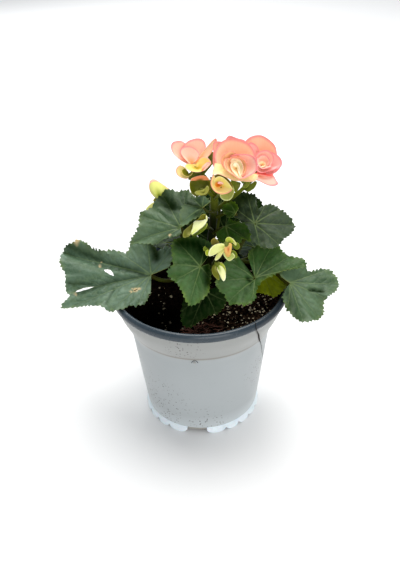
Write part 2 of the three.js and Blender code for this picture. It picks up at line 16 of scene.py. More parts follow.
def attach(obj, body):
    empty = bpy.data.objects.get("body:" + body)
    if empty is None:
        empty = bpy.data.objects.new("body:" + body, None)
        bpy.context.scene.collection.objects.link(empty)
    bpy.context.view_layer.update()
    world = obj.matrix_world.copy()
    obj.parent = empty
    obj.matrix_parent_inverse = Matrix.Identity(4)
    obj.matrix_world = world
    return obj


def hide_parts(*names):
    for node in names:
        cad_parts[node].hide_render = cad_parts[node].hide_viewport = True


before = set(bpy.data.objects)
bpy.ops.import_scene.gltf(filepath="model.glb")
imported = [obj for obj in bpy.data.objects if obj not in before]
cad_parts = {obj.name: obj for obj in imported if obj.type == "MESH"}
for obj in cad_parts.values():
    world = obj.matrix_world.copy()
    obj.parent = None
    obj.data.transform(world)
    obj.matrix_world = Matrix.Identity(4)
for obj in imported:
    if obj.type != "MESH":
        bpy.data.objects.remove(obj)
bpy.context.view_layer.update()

bl_info = {
    "name": "Potted begonia",
    "version": (1, 0, 0),
    "blender": (4, 5, 0),
    "location": "3D View > Sidebar > Begonia",
    "description": "Builds the looks of a potted begonia round its packed part",
    "category": "Add Mesh",
}

MM = 0.001
BODY = "root"
# How finely things are made: sides of round bodies, samples of a curve between two of its points,
# and how many points are measured at once
POT_SIDES = 144
SOIL_SIDES = 120
BED_SIDES = 90
CURVE_SAMPLES = 60
BATCH = 1500
# Point values that the materials read, among them the amounts of painted shade and, as pale, painted sheen
LEAF_VALUES = ("vein", "edge", "dry", "dark", "pale")
PETAL_VALUES = ("tint", "across", "along")


def srgb(red, green, blue):
    """A display colour, 0 to 255 each, as the linear colour that Blender works in."""
    def linear(value):
        value /= 255
        return value / 12.92 if value <= 0.04045 else ((value + 0.055) / 1.055) ** 2.4
    return (linear(red), linear(green), linear(blue))


def colour_property(label, description, default):
    """A colour that the user can change."""
    return FloatVectorProperty(
        name=label, description=description, default=default, size=3, min=0, max=1, subtype="COLOR")


def carried(points):
    """Points in full: one that leaves out its third number keeps that of the point before it."""
    full = []
    for point in points:
        full.append(point if len(point) == 3 else (*point, full[-1][2]))
    return full


def times(values, factor):
    """A colour or point with each of its numbers multiplied by a factor."""
    return tuple(factor * value for value in values)


def length_property(label, description, default):
    """A length that the user can change, in metres."""
    return FloatProperty(
        name=label, description=description, default=default, min=0, unit="LENGTH", precision=5)


# Pot: ring sizes in millimetres, from the pot's axis and from the surface that it stands on
COLLAR_RADIUS = 60.4
COLLAR_HEIGHT = 95
LEDGE_RADIUS = 54
LEDGE_HEIGHT = 81
LEDGE_STEP = 1.4
BASE_RADIUS = 43.2
BASE_HEIGHT = 5.2
FLOOR_UNDERSIDE = 2
FLOOR_TOP = 4.2
WALL = 1.4
FOOT_GROUPS = 3
FOOT_FIRST_GAP = -96.5
FOOT_GAP = 20
FOOT_LOBES = (20, 15, 15, 15, 15, 20)
LOBE_STEPS = 12
FOOT_OUTSIDE = 44.8
FOOT_INSIDE = 42.2
SCALLOP_RISE = 2.6
DRAIN_HOLES = 4
DRAIN_RADIUS = 4
DRAIN_CIRCLE = 24
RIM_SECTION = (
    (62.3, 102.7), (63.6, 103.4), (64.7, 104.9), (65, 106.6), (64.5, 108.7), (63, 109.9), (61.6, 109.7),
    (60.6, 108.6), (60.2, 106.8), (59.9, 103))
# Places of the materials in the pot's list; the last is painted shade on the ledge line and the recessed base
WALL_SKIN, COLLAR_SKIN, RIM_SKIN, FOOT_SKIN, PAINTED_SHADOW_SKIN = range(5)
# A small moulded arch under the ledge, and where soil has splashed the wall: point and reach
ARCH = ((-7, -52, 76.9), (-6.2, -52.3, 78.7), (-4.8, -52.5, 79.4), (-3.4, -52.5, 78.7), (-2.6, -52.3, 77.1))
ARCH_BUMP = ((-4.8, -52.3, 78.7), (-4.8, -51.9, 77.4), (-4.8, -51.6, 75.8))
SPLASHES = (
    ((-34, -32, 24), 36), ((-13, -58, 94), 18), ((52, -22, 86), 16), ((0, -46, 8), 24), ((-50, -8, 55), 22),
    ((44, -24, 48), 22))

# Soil, in millimetres
SOIL_TOP = 97
SOIL_EDGE = 58.3
SOIL_LUMPS = 1.2
FIBRES = 80
# Crumbs and perlite beads strewn on each square metre
CRUMBS = 420000.0
BEADS = 90000.0
# The dry root, from the soil over the rim and down along the wall
ROOT = (
    (34.9, -42, 98.2), (36.2, -47.8, 104), (36.9, -50.6, 110.2), (37.6, -53.6, 107.2), (38.5, -50.6, 102.2),
    (39.9, -46.4, 96.4), (40.7, -43, 90.7), (42, -37, 82.6), (43.4, -29.4, 74.9), (45, -23.6, 62.3),
    (46.5, -17, 51.6))

# Shoots: radius and the points that each one runs through, in millimetres. A knob swells at every
# KNOB_GAP points of the finished shoot.
STEM_RADIUS = 3
BRANCH_RADIUS = 2.2
STALK_RADIUS = 1.5
THIN_RADIUS = 1.1
KNOB_GAP = 14
SHOOTS = (
    (STEM_RADIUS, (3, 5, 80), (5, 5, 110), (8, 5, 135), (10.5, 4, 155), (12, 4, 179)),
    (BRANCH_RADIUS, (4, 5, 100), (1, 1, 116), (-3, -3, 130), (-6, -6, 143)),
    (BRANCH_RADIUS, (4, 5, 102), (14, 4, 114), (22, 2, 124), (28, 1, 137)),
    (BRANCH_RADIUS, (4, 5, 98), (3, 15, 106), (1, 25, 112)),
    (STALK_RADIUS, (12, 4, 177), (9, 3, 188), (4, 1, 196), (-1, 0, 201)),
    (STALK_RADIUS, (12, 4, 175), (16, 3, 187), (22, 0, 197), (25, -3, 202)),
    (STALK_RADIUS, (11.5, 4, 166), (20, 6, 172), (31, 5, 182), (39, 5, 191), (42, 5, 195)),
    (THIN_RADIUS, (9, 3, 188), (2, 0, 192), (-5, -2, 195)),
    (THIN_RADIUS, (12, 4, 176), (8, -2, 184), (4, -7, 187.5)),
    (THIN_RADIUS, (12, 4, 175), (14, -6, 183), (16, -13, 187)),
    (THIN_RADIUS, (6, 5, 118), (-2, 17, 134), (-12, 25, 150), (-19, 27, 160)),
    (THIN_RADIUS, (10, 4, 150), (10, -8, 158), (7, -18, 166), (3, -24, 169)),
    (THIN_RADIUS, (8, 5, 138), (11, -10, 146), (15, -24, 152), (19, -32, 161), (19, -34, 164)),
    (THIN_RADIUS, (15, -24, 152), (13, -32, 154), (12, -36, 150)),
)

# Veins: widths, where the first side vein leaves a main one, how far on the next one does, and the steps
# of a side vein with the turn at each, in radians. A leaf that reaches further than LARGE_LEAF has the
# thicker stalk. Lengths are millimetres.
MAIN_VEIN = 0.75
SIDE_VEIN = 0.36
FIRST_SIDE_VEIN = 5.5
SIDE_VEIN_GAP = 2.6
SIDE_VEIN_STEPS = 12
SIDE_VEIN_STEP = 1.5
SIDE_VEIN_BEND = 0.045
LARGE_LEAF = 25
# Relief of a blade: how far it rises between the main veins (for each of its size), between all veins and
# in waves along its margin, how deep the veins lie on top, and how far they stand out below
CUSHION_RISE = 0.06
RIPPLE_RISE = 0.55
WAVE_RISE = 0.8
VEIN_GROOVE = 0.22
VEIN_RIB = 0.3
# Where the peak of a margin tooth lies between its ends, and how close two points of a blade's mesh may be
TOOTH_LEAN = 0.68
CLOSEST_POINTS = 0.24

# Leaves. margin: degrees round from the heading, reach from the stalk's end, lift off the leaf's plane,
# which is left out where it stays the same.
# facing: lean from level, compass angle that it leans to, compass heading of its tip.
# veins: the angles of the main ones. folds: a line of angles and reaches, how wide and how deep it is,
# and how much painted shade lies along it, or below zero how much painted sheen. holes: see hole_outline.
# scars: angle, reach and size of dried spots. Lengths are millimetres.
LEAVES = {
    "leaf_left_large": {
        "at": (-34, -12, 126), "facing": (27, -105, 178), "tone": "silver",
        "stalk": ((-26, -10, 119), (-12, -6, 118), (0, 0, 118)),
        "margin": (
            (-172, 14, 4), (-142, 22, 7), (-119, 22, 4), (-103, 20, 0), (-85, 26, 5), (-68, 28.5),
            (-54, 26.5), (-46, 24, 4), (-36, 31, 5), (-32, 35.5), (-28.5, 40), (-27.5, 48, 6), (-29, 56),
            (-29, 61), (-26.5, 64.5, 4), (-23.5, 69, 1), (-20.5, 71.8, -1), (-15, 70, 1), (-9, 67),
            (-3, 62.5, 0), (8, 62.5, -2), (12, 60.5, -3), (18, 67.5), (25, 54, -1), (32, 43), (44, 39, -2),
            (61, 28, -1), (82, 23), (92, 13, 0)),
        "veins": (-140, -83, -36, -20, 10, 21, 43, 72),
        "holes": ((-7, 30.8, 4.3, 1.6, -31), (9, 49.6, 6.8, 0.8, 5), (48, 15.9, 1.5, 0.6, -38)),
        "scars": (
            (48, 15.9, 1.8), (40, 17, 0.8), (54, 13.6, 0.8), (44, 19, 0.6), (-28, 62.5, 2.4),
            (-19, 39, 0.5), (-13, 38.6, 0.6), (-7, 39.5, 0.5), (-5, 52.5, 0.5), (11, 56, 0.9)),
        "folds": (
            (((-24, 70), (-20, 39)), 2.8, 0, 0.8), (((-20, 39), (-13, 6)), 1.8, 0, 0.8),
            (((-20, 71), (-14, 39), (-7, 2)), 1.6, 1.6, 0.45),
            (((7, 4), (7, 30), (12, 55)), 1.7, 1.3, 0.65), (((-91, 25), (-107, 13)), 4.2, 1, 1),
            (((-33, 35), (-52, 14)), 5, 0, -0.5), (((-7, 58), (0, 44)), 6, 0, 0.3),
            (((36, 22), (65, 14)), 6, 0, -0.45), (((30, 34), (44, 31)), 5, 0, -0.5),
            (((-131, 8), (-150, 18)), 4, 0, -0.35), (((3, 60), (6, 43)), 1.3, 0.6, 0.75),
            (((22, 29), (34, 38)), 1.3, 0.7, 0.6)),
    },
    "leaf_left_upper": {
        "at": (-12, -6, 160), "facing": (34, -112, 168), "tone": "grey",
        "stalk": ((-11, -7, 153), (-8, -7, 146), (-5, -6, 141)),
        "margin": (
            (-140, 9, 0), (-121, 17), (-104, 25, -1), (-90, 30, -2), (-75, 30), (-62, 34), (-52, 32, -1),
            (-33, 28, 0), (-15, 32, 1), (3, 30, 0), (17, 38, -4), (26, 30, -2), (37, 22, -1), (52, 11, 0),
            (76, 8), (110, 5)),
        "veins": (-115, -88, -55, -15, 18, 38),
        "scars": ((42, 9, 0.8),),
        "folds": (
            (((-52, 31), (-62, 19)), 7.5, 0, 1), (((-84, 26), (-92, 18)), 6, 0, 0.6),
            (((17, 33), (8, 25)), 6, 0, -0.35), (((-40, 25), (-80, 14)), 1.6, 1.2, 0.6),
            (((-3, 2), (-32, 20), (-29, 30)), 1.6, 0.9, 0.3),
            (((23, 2), (-3, 19), (3, 28)), 1.3, 0.6, 0.25), (((19, 29), (26, 17)), 4, 0, -0.3)),
    },
    "leaf_front_small": {
        "at": (3, -22, 184), "facing": (38, -120, 153), "tone": "grey",
        "stalk": ((6, -17, 178), (10, -6, 171), (12, 3, 166)),
        "margin": (
            (-138, 7, 0), (-82, 8, -1), (-38, 10), (-12, 11, 1), (9, 11, 4), (37, 16, 0), (58, 18, -3),
            (75, 10, -1), (100, 6, 0), (140, 6)),
        "veins": (-80, -28, 10, 47, 88),
        "folds": (
            (((36, 13), (65, 15)), 3.6, 0, -0.45), (((19, 1), (2, 13)), 2.6, 1.2, 1),
            (((70, 6), (150, 3), (-12, 4)), 3.4, 0, 0.85), (((-20, 9), (-49, 6)), 3.4, 0, 0.7)),
    },
    "leaf_front_centre": {
        "at": (1, -30, 143), "facing": (42, -95, -110), "tone": "green",
        "stalk": ((2, -24, 134), (3, -12, 126), (2, 1, 119)),
        "margin": (
            (-198, 9, 1), (-185, 17, 2), (-157, 20, 0), (-134, 22, 2), (-113, 26, 1), (-96, 22, 2),
            (-71, 19, 1), (-60, 23, -3), (-23, 20, -1), (-2, 25), (9, 28, 0), (27, 23), (40, 19), (50, 14),
            (88, 8), (128, 6)),
        "veins": (-172, -116, -72, -42, 7, 60),
        "folds": (
            (((-118, 22), (-150, 15), (170, 9)), 9, 0, 1), (((-79, 1), (-87, 10), (-72, 19)), 1.6, 1, 0.5),
            (((-65, 16), (-59, 8)), 3, 0, -0.35), (((-15, 16), (14, 21)), 6, 0, -0.25),
            (((168, 7), (90, 5), (46, 13)), 4.4, 0, 1), (((0, 3), (-3, 24)), 1.2, 0.8, 0.2)),
    },
    "leaf_right_centre": {
        "at": (39, -20, 126), "facing": (24, -95, 9), "tone": "green",
        "stalk": ((34, -13, 118), (26, -4, 119), (20, 3, 122)),
        "margin": (
            (-246, 20, 2), (-221, 24, 1), (-181, 28, 0), (-157, 27, -1), (-141, 26, -3), (-116, 21),
            (-102, 16), (-90, 8, -1), (-55, 6, 0), (-20, 8), (-2, 13), (4, 20, -1), (4, 28, 0), (3, 37),
            (14, 37), (28, 28, 1), (45, 30, 3), (67, 25), (88, 22), (97, 16, 2)),
        "veins": (-228, -185, -146, -110, 6, 24, 52, 84),
        "folds": (
            (((173, 5), (-172, 4)), 2.2, 1.6, 1), (((139, 1), (112, 15), (110, 23)), 1.7, 1.2, 0.6),
            (((150, 20), (145, 12)), 4, 0, -0.15), (((-175, 2), (-133, 12), (-128, 19)), 1.5, 1, 0.45),
            (((84, 23), (67, 25)), 4.5, 0, 0.6), (((20, 25), (9, 32)), 4, 0, -0.1)),
    },
    "leaf_right_outer": {
        "at": (64.5, -17, 119), "facing": (34, -62, 1), "tone": "grey",
        "stalk": ((56, -8, 120), (46, 2, 122), (34, 4, 124), (24, 2, 127)),
        "margin": (
            (-128, 6, 0), (-119, 13, -3), (-104, 18), (-91, 27, -1), (-76, 31, 1), (-62, 32, 0),
            (-48, 32.5, -2), (-29, 27.5, 0), (-20, 28.5, 2), (-9, 33.5), (5, 37, 0), (17, 35),
            (26, 30.5, -1), (34, 18, 0), (54, 19), (76, 20), (100, 21), (120, 20), (138, 15), (152, 8)),
        "veins": (-100, -77, -52, -25, 3, 23),
        "folds": (
            (((-106, 7), (-86, 28)), 3.6, 0, 0.6), (((-19, 15), (-14, 24)), 1.8, 1.4, 1),
            (((-82, 1), (-76, 28)), 1.3, 1.2, 0.25), (((-40, 9), (-49, 22)), 5, 0, -0.3),
            (((12, 22), (5, 31)), 2.6, 0, 0.3)),
    },
    "leaf_right_under": {
        "at": (45, -3, 120), "facing": (38, -80, -60), "tone": "olive",
        "stalk": ((40, 0, 113), (30, 4, 112), (16, 5, 112)),
        "margin": (
            (-88, 8, 0), (-63, 16, -1), (-38, 17, 0), (-20, 19), (-8, 21, -1), (8, 21, 0), (28, 21),
            (52, 17), (76, 12)),
        "veins": (-50, -10, 24),
    },
    "leaf_right_upper": {
        "at": (40, 2, 157), "facing": (36, -75, 3), "tone": "dull",
        "stalk": ((38, 4, 150), (33, 4, 143), (28, 1, 135)),
        "margin": (
            (-178, 9, 0), (-155, 9.5), (-135, 10), (-108, 14), (-83, 18), (-63, 22, -1), (-43, 23),
            (-30, 23.5), (-18, 26.5, -2), (-2, 29.5, -3), (12, 26, 0), (27, 21.5, 1), (38, 21), (55, 17),
            (75, 14, -2), (85, 19, 3), (97, 22, 4), (112, 24, 3), (127, 24, 2), (141, 22, 1), (153, 20, 0),
            (163, 15), (177, 10)),
        "veins": (-85, -45, 0, 29, 58, 102, 138),
        "folds": (
            (((104, 20), (128, 20), (150, 16)), 9, 0, 1), (((111, 10), (160, 8)), 5, 0, 0.8),
            (((70, 8), (80, 16)), 2, 1.2, 0.6), (((9, 1), (-73, 14)), 2, 1.2, 0.45),
            (((-112, 8), (-92, 13)), 3.2, 0, 0.5), (((22, 11), (6, 22)), 4, 0, -0.15)),
    },
    "leaf_small_inner": {
        "at": (26, -8, 171), "facing": (40, -100, 159), "tone": "fresh",
        "stalk": ((25, -4, 168), (20, 1, 166), (13, 3, 162)),
        "margin": ((-108, 4, 0), (-68, 8, 1), (-35, 10, 0), (-7, 10, -2), (31, 6, -1), (77, 4, 0)),
        "veins": (-50, -8, 35),
    },
    "leaf_middle_dark": {
        "at": (19, -9, 162), "facing": (38, -85, -23), "tone": "fresh",
        "stalk": ((16, -4, 157), (13, 0, 153), (10, 3, 149)),
        "margin": (
            (-120, 9, 0), (-95, 12.5, -1), (-62, 14), (-33, 16), (-22, 15, 0), (-14, 20, -2), (7, 16, 0),
            (27, 12, 2), (45, 7, 0), (83, 6, 1)),
        "veins": (-60, -14, 30),
    },
    "leaf_low_front": {
        "at": (4, -31, 123), "facing": (30, -95, -113), "tone": "shaded",
        "stalk": ((4, -24, 114), (4, -10, 106), (4, 3, 102)),
        "margin": (
            (-93, 8, 0), (-56, 14), (-30, 20), (-12, 28, -1), (0, 28, -3), (24, 19, -2), (63, 18, -1),
            (87, 16, 0), (131, 8)),
        "veins": (-60, -24, 2, 46, 85),
    },
    "leaf_right_back": {
        "at": (35, 14, 158), "facing": (42, -70, 38), "tone": "shaded",
        "stalk": ((33, 14, 151), (29, 9, 143), (26, 3, 134)),
        "margin": ((-70, 5, 0), (-11, 12), (8, 15), (22, 16), (40, 12), (79, 10), (118, 8)),
        "veins": (-20, 18, 70),
    },
}

# The leaves at the back and behind the stems share one outline, scaled
BACK_OUTLINE = (
    (-155, 12, 0), (-128, 21, 1), (-104, 19, -1), (-78, 27, 1), (-54, 23, -1), (-30, 31, 0), (-15, 28, -1),
    (2, 37, -2), (20, 29, -1), (36, 31, 0), (58, 23, -1), (80, 26, 1), (106, 18, -1), (130, 20, 1),
    (156, 11, 0))
BACK_VEINS = (-128, -78, -30, 2, 36, 80, 130)
BACK_LEAVES = {
    "leaf_back_left": ((-25, 28, 128), (16, 120, 146), 0.68, ((-19, 23, 122), (-8, 19, 116), (2, 16, 107))),
    "leaf_back_middle": ((-8, 38, 118), (8, 100, 112), 0.79, ((-5, 33, 113), (-1, 27, 112), (1, 22, 110))),
    "leaf_back_right": ((28, 35, 117), (8, 60, 58), 0.78, ((20, 31, 112), (10, 24, 110), (3, 18, 107))),
    "leaf_back_far_right": ((42, 19, 127), (16, 20, 32), 0.66, ((37, 15, 121), (28, 11, 120), (18, 6, 117))),
    "leaf_behind_upper": ((16, 24, 160), (40, -90, 95), 0.66, ((16, 24, 152), (14, 18, 144), (8, 6, 135))),
    "leaf_behind_lower": ((20, 23, 140), (36, -90, 80), 0.56, ((19, 22, 132), (15, 16, 124), (7, 6, 116))),
    "leaf_behind_left": ((-2, 29, 136), (36, -90, 92), 0.62, ((-1, 27, 128), (1, 18, 120), (4, 7, 112))),
}
# Leaves at the back take tones of painted shade, and those behind the stems the darkest
for back_name, (back_at, back_facing, back_scale, back_stalk) in BACK_LEAVES.items():
    LEAVES[back_name] = {
        "at": back_at, "facing": back_facing, "stalk": back_stalk, "veins": BACK_VEINS,
        "tone": "shaded" if "behind" in back_name else "dark",
        "margin": [(angle, reach * back_scale, lift * back_scale)
                   for angle, reach, lift in carried(BACK_OUTLINE)],
    }

# Petal colours, as display colours: at the foot, in the body, along the rim
PALETTES = {
    "coral": ((255, 146, 84), (255, 196, 172), (243, 138, 142)),
    "orange": ((255, 170, 90), (255, 214, 176), (250, 150, 140)),
    "honey": ((196, 160, 30), (252, 218, 122), (252, 196, 170)),
    "peach": ((255, 168, 104), (255, 199, 166), (244, 138, 140)),
    "pink": ((252, 150, 126), (255, 187, 180), (242, 134, 142)),
    "blush": ((255, 162, 110), (255, 203, 186), (243, 132, 140)),
    "glow": ((255, 154, 70), (255, 200, 148), (252, 154, 134)),
    "cream": ((230, 220, 120), (254, 240, 176), (250, 204, 164)),
    # heart and pale_heart: the creamy middle of a bloom, partly its own colour and partly painted light for
    # the glow through its petals
    "heart": ((255, 208, 136), (255, 236, 196), (255, 196, 166)),
    "pale_heart": ((255, 236, 180), (255, 250, 222), (255, 248, 226)),
    "crimson": ((220, 60, 50), (246, 106, 96), (246, 150, 138)),
    "blushed": ((190, 160, 50), (240, 216, 146), (240, 146, 136)),
    "olive": ((76, 86, 6), (124, 124, 20), (232, 210, 118)),
    "cup": ((120, 132, 26), (82, 88, 0), (124, 120, 20)),
    "band": ((110, 84, 10), (226, 138, 88), (246, 196, 160)),
    "lip": ((120, 120, 40), (150, 150, 64), (186, 188, 108)),
    "undercup": ((112, 108, 12), (166, 178, 96), (212, 220, 154)),
    "umber": ((96, 84, 12), (98, 90, 16), (150, 138, 56)),
    "bowl": ((236, 190, 60), (254, 230, 152), (248, 160, 136)),
    "golden": ((116, 116, 8), (118, 118, 6), (190, 190, 90)),
    "moss": ((176, 176, 92), (106, 110, 22), (140, 144, 66)),
    "column": ((206, 118, 58), (214, 168, 92), (216, 190, 104)),
    "green": ((60, 78, 6), (92, 108, 16), (150, 164, 56)),
    "leafy": ((52, 68, 6), (84, 98, 14), (116, 126, 36)),
    "lime": ((112, 130, 12), (160, 174, 46), (208, 214, 118)),
    "palegreen": ((136, 150, 40), (204, 206, 124), (232, 234, 170)),
    "butter": ((240, 196, 74), (254, 244, 142), (254, 242, 176)),
    "amber": ((228, 116, 14), (240, 158, 48), (246, 190, 112)),
    "tipped": ((172, 188, 56), (222, 226, 128), (250, 190, 160)),
    "pale": ((226, 236, 130), (246, 250, 184), (252, 252, 214)),
    "creamy": ((186, 194, 84), (216, 220, 142), (240, 242, 190)),
    "tipped_green": ((150, 176, 40), (252, 254, 184), (254, 254, 216)),
}


def flower(face, stalk, petals):
    """A bloom or bud, by the middle of its plane and its stalk's end, both in the part's frame."""
    return {"face": face, "stalk": stalk, "petals": petals}


def petal(colours, foot, swell, wave, rim):
    """One petal, in its flower's own plane: right, up and towards the viewer, in millimetres.

    foot is where it grows, swell how far its middle bows out, wave how far its rim waves,
    and rim holds the points that its rim runs through.
    """
    return {"colours": colours, "foot": foot, "swell": swell, "wave": wave, "rim": carried(rim)}


# Flowers, with their petals from the back to the front
BLOOMS = {
    "bloom_left": flower((-2, 0, 205.1), (-1, 0, 201), (
        petal("coral", (-2, 0, -1), -1.5, 0.3, (
            (-2, -0.6, -0.6), (-5.5, 0.8, -1), (-10, 4, -2), (-13.8, 8.8, -3), (-14.4, 12), (-13.4, 14.6),
            (-10.5, 15.5), (-7.5, 15.5), (-4.5, 13.5), (-1.5, 10))),
        petal("coral", (-0.5, -0.5, 0), -2.5, 0.4, (
            (-3, 1.5, 0), (-7.5, 5.5, -1), (-8.5, 8.5), (-6.5, 11.5), (-3.5, 14.5), (0, 16), (4, 16.5),
            (7.5, 15), (9, 11), (7, 7, 0), (3.5, 3))),
        petal("coral", (-0.5, -0.5, 0.6), -1.5, 0.3, (
            (-3.5, 0.8, 0.8), (-6.5, 4, 0.6), (-8.2, 7.4, 0.4), (-7.6, 9.8), (-4.2, 11.3), (0.6, 10.2),
            (4, 7, 0.6), (4.2, 3, 1))),
        petal("orange", (1.5, 0, 1), -1.5, 0, (
            (2, 1, 1.4), (5, 5.5), (9, 9.5, 1.2), (13, 14, 0.6), (15.5, 16, 0), (16.5, 15, -1),
            (14.5, 10.5, -1.4), (12, 6), (8.5, 2.5, -1))),
        petal("glow", (0, -3, -1.6), 0.3, 0, (
            (-4.4, -0.6, -1.4), (-3.8, 1.8), (-1.2, 3.2), (1.8, 3.2, -1.2), (4.2, 2), (4.4, 0))),
        petal("honey", (2.5, -3.5, 0.4), -1, 0.2, (
            (7, -5.5, 3), (4.5, -6.5, 4), (1, -6.5), (-2, -5.5), (-4.5, -4, 3), (-5.5, -2, 2),
            (-4, -0.5, 1), (-0.5, -0.5, 0), (2, -0.5))),
        petal("honey", (3, -4, 1), -1.5, 0.2, (
            (2, -0.5, 0), (4, 2), (7, 4), (10, 3), (12, 0, 1), (10, -3, 3), (7, -5.5, 4), (5, -6.5))),
        petal("coral", (5.5, -6, 3.6), 0.4, 0, (
            (6, -3, 4), (9, -0.5), (12, -0.5, 3), (10.5, -3, 4.4), (8, -5.5, 5))),
        petal("leafy", (11, -1, -5), 0.4, 0, (
            (9.5, 2, -4.6), (10.4, 5.5), (12.2, 8.6), (13.8, 7.4), (14.2, 3), (13, -1))),
        petal("leafy", (4.5, -8.5, -2), 0.8, 0, (
            (6.5, -8.5, 0), (9, -5.5), (12.5, -1), (11.5, 1, -1), (7.5, -1, -2), (4, -4.5))),
        petal("leafy", (4, -8.5, -2.2), 0.8, 0, (
            (2, -9.5, 0), (-1.5, -10, 0.4), (-3, -9.5, 0), (-2, -7, -1), (2, -4.5, -2), (4.5, -5))))),
    "bloom_centre": flower((25.1, -14, 208.7), (25, -3, 202), (
        petal("peach", (-2.5, 0, -7), -2, 0.3, (
            (-12.5, -3, -3), (-14, 1.5, -3.6), (-14, 6, -4), (-13.5, 11.5, -4.4), (-13.5, 15.5, -5),
            (-12.5, 17), (-8.5, 17), (-5, 16))),
        petal("pink", (1, 10, -12), 0, 0, (
            (-6.5, 15.5, -6), (-5, 19), (-3, 21), (-1, 20.5), (2.5, 19), (7, 17.5), (9, 14))),
        petal("peach", (0.5, 0.5, -7), -3, 0.4, (
            (-12.5, 2.5, -2), (-13, 8), (-11, 13.4, -2.4), (-7.5, 17, -2.8), (-3.5, 18.4, -3), (0.5, 18.2),
            (5, 17), (9.5, 14.6), (12.5, 10.5, -2.4), (13.5, 5.5, -2), (13.5, 1, -1.6))),
        petal("cream", (-1.5, 0.5, -6), -0.8, 0.2, (
            (-13, 2.5, -1.6), (-14, -1.5, -0.6), (-14.8, -5.4, 0.2), (-11.5, -5, 0.8), (-5.5, -7.5, 1),
            (-1.5, -9.5), (3.5, -10), (9.5, -10.5, 0.4), (13.5, -9.5, -0.4), (15, -6, -1.6))),
        petal("glow", (-0.5, 1.5, -5), -1.6, 0.2, (
            (-7.5, -1, 2), (-9, 2.5, 2.4), (-8.5, 5.5), (-6, 8), (-2.5, 9.5), (0, 8.5), (2.5, 6, 2))),
        petal("blush", (2, 0, -5), -2.5, 0.3, (
            (-3, 6.5, 1), (0.5, 7, 2.2), (5, 7, 3), (9.5, 6.5), (12.5, 4.5), (14, 1), (14, -2.5, 3.6),
            (12.5, -5, 4), (9, -7), (5.5, -8.5), (2, -9))),
        petal("glow", (0, 0.5, -4), -1.6, 0.2, (
            (-5.5, 5, 2.4), (-7.5, 3, 3), (-7.5, -0.5, 3.8), (-5, -4, 4.2), (-1.5, -6.5, 4.4), (2, -9, 4.8),
            (4.5, -9, 4.6))),
        petal("glow", (1, -0.5, -4), -2, 0, (
            (-4, 4.5, 2), (-1.5, 5.5, 2.4), (2.5, 5, 3), (6, 3, 3.2), (7.5, 0, 3.4), (7, -4, 3.6),
            (4.5, -7, 3.8), (2.5, -8.5, 4))),
        petal("glow", (0, 0, -3.6), -2, 0, (
            (0.5, -7.5, 3.4), (-3, -5, 3), (-5.5, -1.5), (-6, 1.5, 2.4), (-5, 4.5, 2.2), (-2, 5))),
        petal("heart", (1, -1, -3), -1.5, 0, (
            (-3, 2.5, 2), (-2, 4.5, 2.2), (0.5, 4.5, 2.4), (3.5, 3, 2.8), (5, -0.5, 3), (5, -3.5, 3.2),
            (3.5, -7, 3.6), (2, -8, 3.8))),
        petal("heart", (0.5, -1, -2), -1, 0, (
            (2, -8, 4), (-0.5, -5.5, 3.6), (-2.5, -2.5, 3.2), (-3, 0.5, 2.8), (-1.5, 2.5, 2.6), (1, 3))),
        petal("pale_heart", (1, -1, -1), -0.5, 0, (
            (-1.5, 0, 2.4), (-0.5, 1.5, 2.8), (1, 1.5), (2.5, -0.5, 3), (3, -4, 3.2), (2.5, -7, 3.8))))),
    "bloom_right": flower((45.1, 0, 204.4), (42, 5, 195), (
        petal("peach", (-1, -1.5, -6), -3, 0.4, (
            (-11.5, 9, -3), (-12.5, 13), (-11.5, 15), (-9, 17), (-5, 18.5), (-1, 18.5), (2.5, 16.5),
            (5.5, 14), (8, 11), (9, 7), (9, 3, -2.4))),
        petal("pink", (-1, -3, -5), -1.5, 0, (
            (-10.5, 4, -1), (-11.5, 10), (-9, 13.5), (-6, 12.5), (-4, 10.5), (-3, 7.5, -0.4))),
        petal("pink", (-0.5, -2.5, -5), -2, 0.3, (
            (4.5, 7, -1), (7, 6), (9.5, 4, -0.4), (11.5, 1.5, 0), (12, -1.5), (10.5, -4, 0.4),
            (8.5, -6.5, 1), (5.5, -8), (1.5, -8))),
        petal("pink", (-1, -3, -3.6), -1.5, 0.2, (
            (-5, -2.5, 1.2), (-5, -6, 1.6), (-2.5, -7.5, 2), (1.5, -7), (6.5, -5.5, 1.6), (10, -3.5, 0.8))),
        petal("blush", (-0.5, -2, -4), -2, 0.2, (
            (-5, -0.5, 1), (-5.5, 3.5), (-4, 6), (-1, 7.5), (2.5, 7.5), (5, 6), (6.5, 2.5, 1.2),
            (5.5, -1, 1.6), (3.5, -3.5, 2))),
        petal("blush", (-0.5, -2, -3), -1.5, 0, (
            (-4.5, 2.5, 1), (-1.5, 4.5, 1.4), (1.5, 4, 1.6), (3.5, 1, 1.8), (3, -2.5, 2))),
        petal("blush", (-0.5, -1.5, -3), -1.5, 0, (
            (-5, 3, 1.6), (-5, 0, 2), (-4, -3, 2.4), (-1.5, -5, 2.8), (2.5, -4.5), (5, -3.5, 2.6))),
        petal("heart", (-1, -1.5, -2), -0.5, 0, (
            (-4.5, -1.5, 1.6), (-3, 0), (-1, 0.5, 1.8), (1, -1, 2), (0.5, -3), (-2.5, -4))),
        petal("crimson", (-4.5, -6, -2), 0, 0, (
            (-5.5, -8, 1), (-3, -8.5), (1, -9.5), (5.5, -10, 0.4), (6, -8, 0.2))),
        petal("blush", (-6.5, -6.5, -4), 0.8, 0.3, (
            (-11, -9.5, -1), (-10, -12, -0.4), (-5, -12, 0), (-1.5, -13.5), (1.5, -15), (5, -16),
            (8.5, -15.5), (9, -14.5), (7.5, -12, -0.4), (6, -9, -1), (2.5, -8))))),
}

